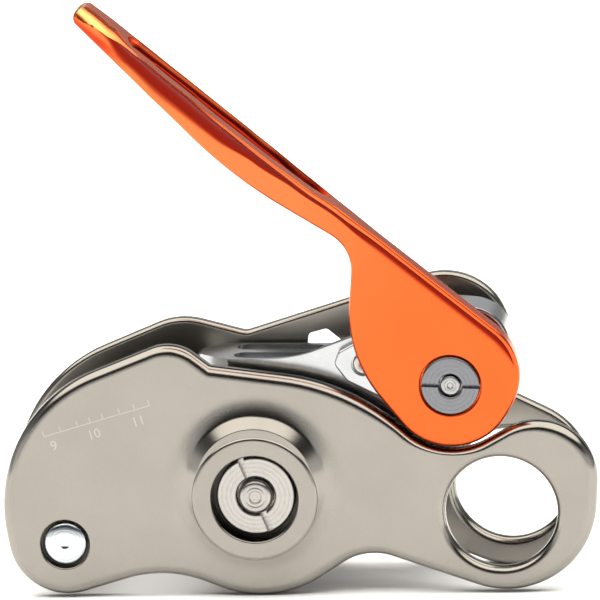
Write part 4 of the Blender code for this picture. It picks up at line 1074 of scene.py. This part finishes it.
def grip_pocket(sizes):
    """The long pocket in the grip's top face, a cutter that follows the flange's two edges."""
    hub_end, tip_end, angle = handle_edge()
    way = (hub_end - tip_end).normalized()
    out = Vector((math.cos(angle), 0.0, math.sin(angle)))
    front_rim = 3.1
    rear_rim = 1.1
    end_rounding = 2.4
    face = -(heights().inner + sizes.web)
    front_side = []
    rear_side = []
    steps = 60
    for step in range(steps + 1):
        along = sizes.pocket_length * (1 - math.cos(math.pi * step / steps)) / 2
        from_end = min(along, sizes.pocket_length - along, end_rounding)
        narrowing = math.sqrt(1 - (1 - from_end / end_rounding) ** 2)
        _, overhang, rear, _, _ = flange_at(sizes.pocket_start + along)
        front = face - overhang
        middle = (front + front_rim + rear - rear_rim) / 2
        half = (rear - rear_rim - front - front_rim) / 2
        front_side.append((sizes.pocket_start + along, middle - half * narrowing))
        rear_side.append((sizes.pocket_start + along, middle + half * narrowing))
    corners = front_side + rear_side[-2:0:-1]
    centre = sum(y for _, y in corners) / len(corners)
    depth = sizes.pocket_depth
    rings = []
    for height, grow in ((-depth, 0.86), (-depth * 0.8, 0.95), (-0.4, 1.0), (2.0, 1.03)):
        level = []
        for along, y in corners:
            place = tip_end + way * along + out * height
            level.append((place.x, centre + (y - centre) * grow, place.z))
        rings.append(level)
    return skin("grip_pocket", rings)


def handle_shape():
    sizes = in_mm(bpy.context.scene.belay_handle)
    inner = heights().inner
    front = -(inner + sizes.web)
    made = plate("release_handle", HANDLE_OUTLINE, front, -inner, sizes.front_rounding, sizes.back_rounding)
    join(made, handle_lip(sizes, inner))
    cut(made, grip_pocket(sizes))
    cut(made, tip_rounding(sizes, inner))
    nut_floor = 1.5
    nut_rim = 0.3
    cut(made, turned("nut_seat", rim_cutter(sizes.nut_seat, nut_rim, front, -(inner + nut_floor), -1), PIVOT))
    return cut(made, disc("bore", HUB_BORE, -2 * THROUGH, 0.0, PIVOT, SMALL_SIDES))


class BELAY_OT_handle(bpy.types.Operator):
    """Build the forged release handle"""

    bl_idname = "belay.handle"
    bl_label = "Release handle"

    def execute(self, context):
        put_in(handle_shape(), "handle_group", orange_anodised("orange_anodised"), ["handle"], 42.0)
        return {"FINISHED"}


# Axle, stud and nuts

# Thickness of the nuts, and the stud nut's rear face from the rope space, in millimetres
AXLE_NUT_THICKNESS = 2.5
STUD_NUT_THICKNESS = 2.2
STUD_NUT_REST = 1.8


def slotted_nut(name, inner, outer, front, back, slot, slot_angle, centre):
    """A round nut with a slot across its front face and rounded corners."""
    edge = 0.4
    slot_depth = 1.3
    profile = arc_profile(inner + edge, front + edge, edge, 180, 270)
    profile += arc_profile(outer - edge, front + edge, edge, 270, 360)
    profile += [(outer, back), (inner, back)]
    nut = turned(name, profile, centre)
    size = (2 * outer + 2, 2 * slot_depth, slot)
    return cut(nut, block("slot", size, (centre[0], front, centre[1]), y_turn(slot_angle)))


def peened_end(radius, front, edge):
    """The front end of a riveted-over shank: a rounded edge, a turned ring and a dimple."""
    dimple = radius * 0.4
    dimple_depth = 0.28
    ring_depth = 0.06
    profile = [(0.0, front + dimple_depth + ring_depth), (dimple * 0.6, front + dimple_depth)]
    profile += arc_profile(dimple, front + dimple_depth, dimple_depth, 180, 270, 4)
    profile += [(radius * 0.52, front), (radius * 0.56, front + ring_depth), (radius * 0.60, front)]
    return profile + arc_profile(radius - edge, front + edge, edge, 270, 360)


def main_axle_shape():
    ledge = heights().ledge
    back = ledge + GAP
    end = 3.3
    shank = 4.0
    head = 7.4
    head_edge = 0.6
    proud = 1.1
    profile = peened_end(end, -(back + AXLE_NUT_THICKNESS) - proud, proud)
    profile += [(end, -ledge), (shank, -ledge), (shank, back), (head, back)]
    profile += arc_profile(head - head_edge, ledge + 1.8, head_edge, 0, 90)
    profile += [(2.6, ledge + 2.4), (2.0, ledge + 2.0), (0.0, ledge + 1.95)]
    return turned("axle_pin", profile)


def handle_stud_shape():
    y = heights()
    back = y.inner + STUD_NUT_REST
    end = 1.9
    shank = 3.0
    edge = 0.5
    sunk = 0.2
    profile = peened_end(end, -(back + STUD_NUT_THICKNESS) + sunk, edge)
    head = y.outer - STUD_SEAT_DEPTH + GAP
    head_radius = 5.4
    profile += [(end, -back + GAP), (shank, -back + GAP), (shank, head), (head_radius, head)]
    profile += arc_profile(head_radius - edge, head + 1.5, edge, 0, 90)
    profile += [(1.6, head + 2.0), (1.1, head + 1.6), (0.0, head + 1.55)]
    return turned("pivot_stud", profile, PIVOT)


class BELAY_OT_axles(bpy.types.Operator):
    """Build the main axle, the handle's stud and their slotted nuts"""

    bl_idname = "belay.axles"
    bl_label = "Axle, stud and nuts"

    def execute(self, context):
        y = heights()
        round_axle = turned_steel("turned_steel_axle", AXLE, (0.35, 0.338, 0.32))
        round_pivot = turned_steel("turned_steel_stud", PIVOT, (0.33, 0.33, 0.335))
        dark_nut = turned_steel("turned_steel_stud_nut", PIVOT, (0.165, 0.17, 0.183))
        group = "back_plate_group"
        put_in(main_axle_shape(), group, round_axle, ["main_axle"])
        put_in(handle_stud_shape(), group, round_pivot, ["handle_stud"])
        rear = -(y.ledge + GAP)
        nut = slotted_nut("axle_nut", 3.6, 7.4, rear - AXLE_NUT_THICKNESS, rear, 1.2, 112.0, AXLE)
        put_in(nut, group, round_axle, ["main_axle_nut"])
        rear = -(y.inner + STUD_NUT_REST)
        nut = slotted_nut("stud_nut", 2.2, 5.5, rear - STUD_NUT_THICKNESS, rear, 0.8, -2.0, PIVOT)
        put_in(nut, group, dark_nut, ["handle_nut"])
        return {"FINISHED"}


# Rivets and rope post

# The plated rivets: radius and height of the head, how far it is sunk, and the shank
RIVET_HEAD = 4.05
RIVET_HEIGHT = 2.2
RIVET_SUNK = 2.1
RIVET_SHANK = 2.2


def domed_head(face, way, radius, height):
    """A domed rivet head with a pressed dimple, from its middle to its rim."""
    dimple = 0.9
    dimple_depth = 0.25
    dimple_steps = 6
    shoulder = 0.55
    crown = face + way * height
    points = [(0.0, crown - way * dimple_depth)]
    for step in range(1, dimple_steps + 1):
        part = step / dimple_steps
        points.append((dimple * part, crown - way * dimple_depth * (1 - part ** 2.5)))
    steps = EDGE_STEPS * 3
    for step in range(1, steps + 1):
        angle = math.pi / 2 * step / steps
        out = dimple + (radius - dimple) * math.sin(angle)
        points.append((out, face + way * height * (shoulder + (1 - shoulder) * math.cos(angle))))
    return points + [(radius, face)]


def rope_post_shape():
    inner = heights().inner - GAP
    radius = 3.8
    front_edge = 0.5
    rear_edge = 0.3
    bore = 1.9
    profile = [(0.0, -inner), (radius - front_edge, -inner)]
    profile += arc_profile(radius - front_edge, -inner + front_edge, front_edge, 270, 360)
    profile += arc_profile(radius - rear_edge, inner - rear_edge, rear_edge, 0, 90)
    profile += [(bore, inner), (bore, 0.0), (0.0, 0.0)]
    return turned("keeper_post", profile, POST, SMALL_SIDES)


class BELAY_OT_rivets(bpy.types.Operator):
    """Build the two plated rivets and the rope post"""

    bl_idname = "belay.rivets"
    bl_label = "Rivets and post"

    def execute(self, context):
        y = heights()
        zinc = zinc_plated("zinc_plated", POST)
        face = -y.outer + RIVET_SUNK
        end = -y.inner - 0.1
        profile = domed_head(face, -1, RIVET_HEAD, RIVET_HEIGHT)
        profile += [(RIVET_SHANK, face), (RIVET_SHANK, end), (0.0, end)]
        put_in(turned("front_rivet", profile, POST), "front_plate_group", zinc, ["latch_rivet"])
        face = y.outer - RIVET_SUNK
        neck = 1.6
        profile = domed_head(face, 1, RIVET_HEAD, RIVET_HEIGHT)
        profile += [(RIVET_SHANK, face), (RIVET_SHANK, y.inner), (neck, y.inner), (neck, GAP), (0.0, GAP)]
        put_in(turned("rear_rivet", profile, POST), "back_plate_group", zinc, ["post_rivet"])
        steel = turned_steel("turned_steel_post", POST)
        put_in(rope_post_shape(), "back_plate_group", steel, ["rope_post"])
        return {"FINISHED"}


# Brake arm


def arm_plan(sizes, arm_front):
    """The arm's top view, a cutter: a pointed nose, the tongue's full width, then only the cheek."""
    half = sizes.tongue_width / 2
    middle = half - arm_front
    nose_x = TONGUE_NOSE[0] - TONGUE_NOSE[2]
    nose_length = 7.0
    nose_curve = 1.7
    tongue_root = 16.0
    far = 60.0
    beyond = arm_front + 1.0
    cheek_y = -arm_front + sizes.cheek
    corners = [(far, cheek_y), (far, -beyond), (nose_x + nose_length, -beyond)]
    steps = 60
    for step in range(steps + 1):
        side = 2 * step / steps - 1
        corners.append((nose_x + nose_length * abs(side) ** nose_curve, middle + half * side))
    corners += [(tongue_root, middle + half), (tongue_root, cheek_y)]
    return skin("plan", [[(x, y, z) for x, y in corners] for z in (-far, far)])


def tongue_pocket(sizes, middle, width):
    """One of the two long hollows in the tongue's top face, a cutter with rounded ends."""
    radius = width / 2
    top = TONGUE_NOSE[1] + TONGUE_NOSE[2]
    nose_end = -4.6
    root_end = 12.5
    steps = 12
    corners = []
    for start, x in ((-90.0, root_end - radius), (90.0, nose_end + radius)):
        for step in range(steps + 1):
            angle = math.radians(start + 180.0 * step / steps)
            corners.append((x + radius * math.cos(angle), middle + radius * math.sin(angle)))
    centre_x = sum(x for x, _ in corners) / len(corners)
    rings = []
    for height, grow in ((-sizes.pocket_depth, 0.90), (-sizes.pocket_depth * 0.7, 0.975), (3.0, 1.02)):
        ring = []
        for x, y in corners:
            along = centre_x + (x - centre_x) * (0.9 + grow * 0.1)
            ring.append((along, middle + (y - middle) * grow, top + height))
        rings.append(ring)
    return skin("pocket", rings)


def brake_arm_shape():
    sizes = in_mm(bpy.context.scene.belay_arm)
    arm_front = heights().inner - GAP - sizes.link_thickness - GAP
    step_in = 0.12
    head_rear = 3.0
    head_rounding = 0.6
    outline = (
        TONGUE_NOSE,
        SHOE,
        *[(x, z, radius - step_in) for x, z, radius in ARM_HEAD],
        TONGUE_SHOULDER,
    )
    made = prism("braking_arm", outline, -arm_front + step_in, sizes.tongue_width)
    combine(made, arm_plan(sizes, arm_front), "INTERSECT")
    flat_top = TONGUE_NOSE[1] + TONGUE_NOSE[2]
    above = Vector((60.0, 30.0, 40.0))
    place = (above.x / 2 - 4.0, above.y / 2 + sizes.cheek - arm_front, above.z / 2 + flat_top)
    cut(made, block("above_tongue", above, place, Matrix.Identity(3)))
    width = (sizes.tongue_width - 2 * sizes.rib - sizes.centre_rib) / 2
    for side in (-1, 1):
        middle = sizes.tongue_width / 2 - arm_front + side * (sizes.centre_rib + width) / 2
        cut(made, tongue_pocket(sizes, middle, width))
    head = tuple((*circle, 1.0) for circle in ARM_HEAD)
    join(made, plate("arm_head", head, -arm_front, head_rear, head_rounding, head_rounding))
    cut(made, disc("bore", HUB_BORE, -THROUGH, THROUGH, PIVOT, SMALL_SIDES))
    return cut(made, disc("rivet_hole", LINK_HOLE, -THROUGH, 0.0, SIDE_RIVET, SMALL_SIDES))


def side_plate_shape():
    sizes = in_mm(bpy.context.scene.belay_arm)
    front = -(heights().inner - GAP)
    back = front + sizes.link_thickness
    head = 9.0
    seat_radius = 2.3
    circles = ((*PIVOT, head, 1.0), *LINK_CORNERS)
    made = plate("link_plate", circles, front, back, 0.4, 0.25)
    cut(made, disc("bore", STUD_BORE, -THROUGH, 0.0, PIVOT, SMALL_SIDES))
    cut(made, disc("rivet_hole", LINK_HOLE, -THROUGH, 0.0, SIDE_RIVET, SMALL_SIDES))
    seat = front + sizes.link_thickness * LINK_SEAT_DEPTH
    return cut(made, disc("rivet_seat", seat_radius, -THROUGH, seat, SIDE_RIVET, SMALL_SIDES))


def side_rivet_shape():
    sizes = in_mm(bpy.context.scene.belay_arm)
    plate_front = -(heights().inner - GAP)
    seat = plate_front + sizes.link_thickness * LINK_SEAT_DEPTH - GAP
    sunk = 0.2
    head = 2.0
    edge = 0.4
    shank = LINK_HOLE - GAP
    front = plate_front + sunk
    end = plate_front + sizes.link_thickness + GAP + sizes.cheek - sunk
    profile = [(0.0, front + 0.15), (0.7, front + 0.12), (0.9, front)]
    profile += arc_profile(head - edge, front + edge, edge, 270, 360)
    profile += [(head, seat), (shank, seat), (shank, end), (0.0, end)]
    return turned("link_rivet", profile, SIDE_RIVET, SMALL_SIDES)


class BELAY_OT_arm(bpy.types.Operator):
    """Build the brake arm, its side plate and rivet"""

    bl_idname = "belay.arm"
    bl_label = "Brake arm"

    def execute(self, context):
        bright = bright_steel("bright_steel")
        put_in(brake_arm_shape(), "arm_group", bright, ["brake_arm"], 35.0)
        put_in(side_plate_shape(), "arm_group", bright, ["arm_side_plate"], 35.0)
        steel = turned_steel("turned_steel_link", SIDE_RIVET)
        put_in(side_rivet_shape(), "arm_group", steel, ["side_plate_rivet"])
        return {"FINISHED"}


# Cam, springs and small parts


class BELAY_OT_small_parts(bpy.types.Operator):
    """Finish the cam, bushes, washers and springs, which keep their CAD shapes"""

    bl_idname = "belay.small_parts"
    bl_label = "Cam and small parts"

    def execute(self, context):
        bright = bright_steel("bright_cam")
        paint_node("rope_cam", bright)
        wire = spring_wire("spring_wire")
        for name in ("cam_spring", "arm_spring"):
            paint_node(name, wire)
        round_axle = turned_steel("turned_steel_washers", AXLE)
        for name in ("front_washer", "back_washer", "cam_stop_pin"):
            paint_node(name, round_axle)
        paint_node("stud_spacer", turned_steel("turned_steel_spacer", PIVOT))
        for name in ("plate_bush", "cam_bush"):
            paint_node(name, bronze_bush(f"bronze_{name}", AXLE))
        for name in ("arm_bush", "handle_bush"):
            paint_node(name, bronze_bush(f"bronze_{name}", PIVOT))
        return {"FINISHED"}


# Gauge marks


def mark_bar(name, start, end, width, face):
    """A thin raised bar on the front plate, from one place to another."""
    run = Vector((end[0] - start[0], 0.0, end[1] - start[1]))
    side = Vector((-run.z, 0.0, run.x)).normalized() * width / 2
    corners = [Vector((start[0], 0.0, start[1])) - side, Vector((end[0], 0.0, end[1])) - side]
    corners += [Vector((end[0], 0.0, end[1])) + side, Vector((start[0], 0.0, start[1])) + side]
    rings = []
    for y in (face - 0.02, face + 0.05):
        rings.append([(corner.x, y, corner.z) for corner in corners])
    return skin(name, rings)


def mark_number(name, text, place, height, lean, face):
    """A plain number standing upright on the front plate."""
    words = bpy.data.curves.new(name, "FONT")
    words.body = text
    words.size = height
    words.extrude = 0.03
    words.align_x = "CENTER"
    words.align_y = "TOP"
    maker = bpy.data.objects.new(name, words)
    bpy.context.scene.collection.objects.link(maker)
    bpy.context.view_layer.update()
    graph = bpy.context.evaluated_depsgraph_get()
    data = bpy.data.meshes.new_from_object(maker.evaluated_get(graph), depsgraph=graph)
    bpy.data.objects.remove(maker)
    stand = Matrix.Rotation(math.pi / 2, 4, "X")
    turn = Matrix.Rotation(-lean, 4, "Y")
    data.transform(Matrix.Translation((place[0], face + 0.01, place[1])) @ turn @ stand)
    made = bpy.data.objects.new(name, data)
    bpy.context.scene.collection.objects.link(made)
    return made


class BELAY_OT_gauge(bpy.types.Operator):
    """Add the plain gauge marks beside the rope's way"""

    bl_idname = "belay.gauge"
    bl_label = "Gauge marks"

    def execute(self, context):
        face = -heights().outer
        etched = etched_mark("etched_mark")
        start = Vector(GAUGE_START)
        end = Vector(GAUGE_END)
        run = end - start
        up = Vector((-run.y, run.x)).normalized()
        bars = [("gauge_line", start, end)]
        for index, share in enumerate(GAUGE_TICKS):
            foot = start + run * share
            bars.append((f"gauge_tick_{index + 1}", foot, foot + up * GAUGE_TICK_LENGTH))
        for name, low, high in bars:
            bar = mark_bar(name, low, high, GAUGE_LINE_WIDTH, face)
            put_in(bar, "front_plate_group", etched)
        lean = math.atan2(run.y, run.x)
        for share, text in GAUGE_NUMBERS:
            place = start + run * share - up * GAUGE_NUMBER_DROP
            number = mark_number(f"gauge_number_{text}", text, place, GAUGE_NUMBER_HEIGHT, lean, face)
            put_in(number, "front_plate_group", etched)
        return {"FINISHED"}


# Stage


def plain_floor(settings):
    """A large pale floor under the device, level with its lowest point."""
    reach = 4.0
    rows = 8
    corners = []
    for row in range(rows + 1):
        for column in range(rows + 1):
            corners.append((reach * (2 * column / rows - 1), reach * (2 * row / rows - 1), 0.0))
    faces = []
    for row in range(rows):
        for column in range(rows):
            first = row * (rows + 1) + column
            faces.append((first, first + 1, first + rows + 2, first + rows + 1))
    data = bpy.data.meshes.new("floor")
    data.from_pydata(corners, [], faces)
    floor = bpy.data.objects.new("floor", data)
    bpy.context.scene.collection.objects.link(floor)
    pale = Finish("pale_floor", 0.6, 0.0)
    shade = pale.noise(60.0, 2.0)
    pale.feed("Base Color", shade.picks(toned(settings.floor, 0.985), tuple(settings.floor)))
    pale.feed("Roughness", 0.55 + shade * 0.1)
    pale.shader.inputs["Specular IOR Level"].default_value = 0.0
    data.materials.append(pale.material)


def studio_world(settings):
    """What the metal reflects: a bright low front, a dark band, an overhead softbox and a dim back."""
    world = bpy.data.worlds.new("studio")
    world.use_nodes = True
    tree = world.node_tree
    places = tree.nodes.new("ShaderNodeTexCoord")
    x, y, z = Wire(places.outputs["Generated"]).split()
    front = 1.0 - y.rises(-0.55, 0.25)
    low = 1.0 - z.rises(0.16, 0.34)
    top = (z + abs(x) * 0.32).rises(0.79, 0.87)
    side = abs(x).rises(0.75, 0.98) * (1.0 - z.rises(0.45, 0.8))
    behind = y.rises(0.6, 0.9) * z.rises(0.16, 0.21) * (1.0 - z.rises(0.36, 0.46))
    low_back = 0.24
    side_light = 0.35
    fill = 0.03
    bright = low * (low_back + front * (settings.front_light - low_back)) + behind * settings.back_light
    bright = bright + top * settings.top_light + side * side_light + fill
    warm = top.picks((1.0, 1.0, 1.0), (1.0, 0.955, 0.88))
    seen = Wire(tree.nodes.new("ShaderNodeLightPath").outputs["Is Camera Ray"])
    shown = bright + seen * (1.0 - bright)
    background = tree.nodes["Background"]
    tree.links.new(seen.picks(warm, (1.0, 1.0, 1.0)).socket, background.inputs["Color"])
    tree.links.new(shown.socket, background.inputs["Strength"])
    bpy.context.scene.world = world


def floor_lamp(settings):
    """A wide lamp over the floor that keeps it near white. The metal doesn't reflect it."""
    lamp = bpy.data.lights.new("floor_lamp", "AREA")
    lamp.shape = "SQUARE"
    lamp.size = 3.0
    lamp.energy = settings.floor_light
    made = bpy.data.objects.new("floor_lamp", lamp)
    made.location = (0.0, -0.3, 2.5)
    made.visible_glossy = False
    made.visible_camera = False
    bpy.context.scene.collection.objects.link(made)


def photo_camera(settings):
    """The camera at the photograph's viewing angle."""
    right = Vector((0.9948, 0.0990, -0.0234))
    up = Vector((0.0, 0.2312, 0.9729))
    back = Vector((0.1017, -0.9678, 0.2300))
    turn = Matrix.Rotation(LEAN, 3, "Y")
    across = 6.8475
    above = 33.553
    middle = right * across + up * above
    face = Vector((0.0, -heights().outer, 0.0))
    middle += back * (face.dot(back) - middle.dot(back))
    aim = PLACE @ middle
    basis = Matrix((turn @ right, turn @ up, turn @ back)).transposed()
    lens = bpy.data.cameras.new("camera")
    lens.sensor_width = 36.0
    lens.lens = 36.0 * settings.camera_distance / settings.picture_width
    lens.clip_start = 0.1
    lens.clip_end = 100.0
    camera = bpy.data.objects.new("camera", lens)
    place = basis.to_4x4()
    place.translation = aim + (turn @ back) * settings.camera_distance
    camera.matrix_world = place
    bpy.context.scene.collection.objects.link(camera)
    bpy.context.scene.camera = camera


class BELAY_OT_stage(bpy.types.Operator):
    """Add the floor, the studio light and the camera"""

    bl_idname = "belay.stage"
    bl_label = "Stage"

    def execute(self, context):
        settings = context.scene.belay_stage
        plain_floor(settings)
        studio_world(settings)
        floor_lamp(settings)
        photo_camera(settings)
        context.scene.view_settings.view_transform = "Standard"
        return {"FINISHED"}


class BELAY_PT_device(bpy.types.Panel):
    """Buttons that build the device piece by piece"""

    bl_idname = "BELAY_PT_device"
    bl_label = "Belay device"
    bl_space_type = "VIEW_3D"
    bl_region_type = "UI"
    bl_category = "Belay device"

    def draw(self, context):
        for group in ("belay_plates", "belay_handle", "belay_arm", "belay_finishes", "belay_stage"):
            box = self.layout.box()
            settings = getattr(context.scene, group)
            for name in settings.__annotations__:
                box.prop(settings, name)
        for operator in OPERATORS:
            self.layout.operator(operator.bl_idname)


GROUPS = {
    "belay_plates": PlateSizes,
    "belay_handle": HandleSizes,
    "belay_arm": ArmSizes,
    "belay_finishes": Finishes,
    "belay_stage": StageSettings,
}
OPERATORS = (
    BELAY_OT_side_plates,
    BELAY_OT_handle,
    BELAY_OT_axles,
    BELAY_OT_rivets,
    BELAY_OT_arm,
    BELAY_OT_small_parts,
    BELAY_OT_gauge,
    BELAY_OT_stage,
)
PLACE, LEAN = resting_place()


def register():
    for name, group in GROUPS.items():
        bpy.utils.register_class(group)
        setattr(bpy.types.Scene, name, PointerProperty(type=group))
    for operator in OPERATORS:
        bpy.utils.register_class(operator)
    bpy.utils.register_class(BELAY_PT_device)


def unregister():
    bpy.utils.unregister_class(BELAY_PT_device)
    for operator in reversed(OPERATORS):
        bpy.utils.unregister_class(operator)
    for name, group in reversed(GROUPS.items()):
        delattr(bpy.types.Scene, name)
        bpy.utils.unregister_class(group)


def main():
    register()
    for operator in OPERATORS:
        group, name = operator.bl_idname.split(".")
        getattr(getattr(bpy.ops, group), name)()


if __name__ == "__main__":
    main()
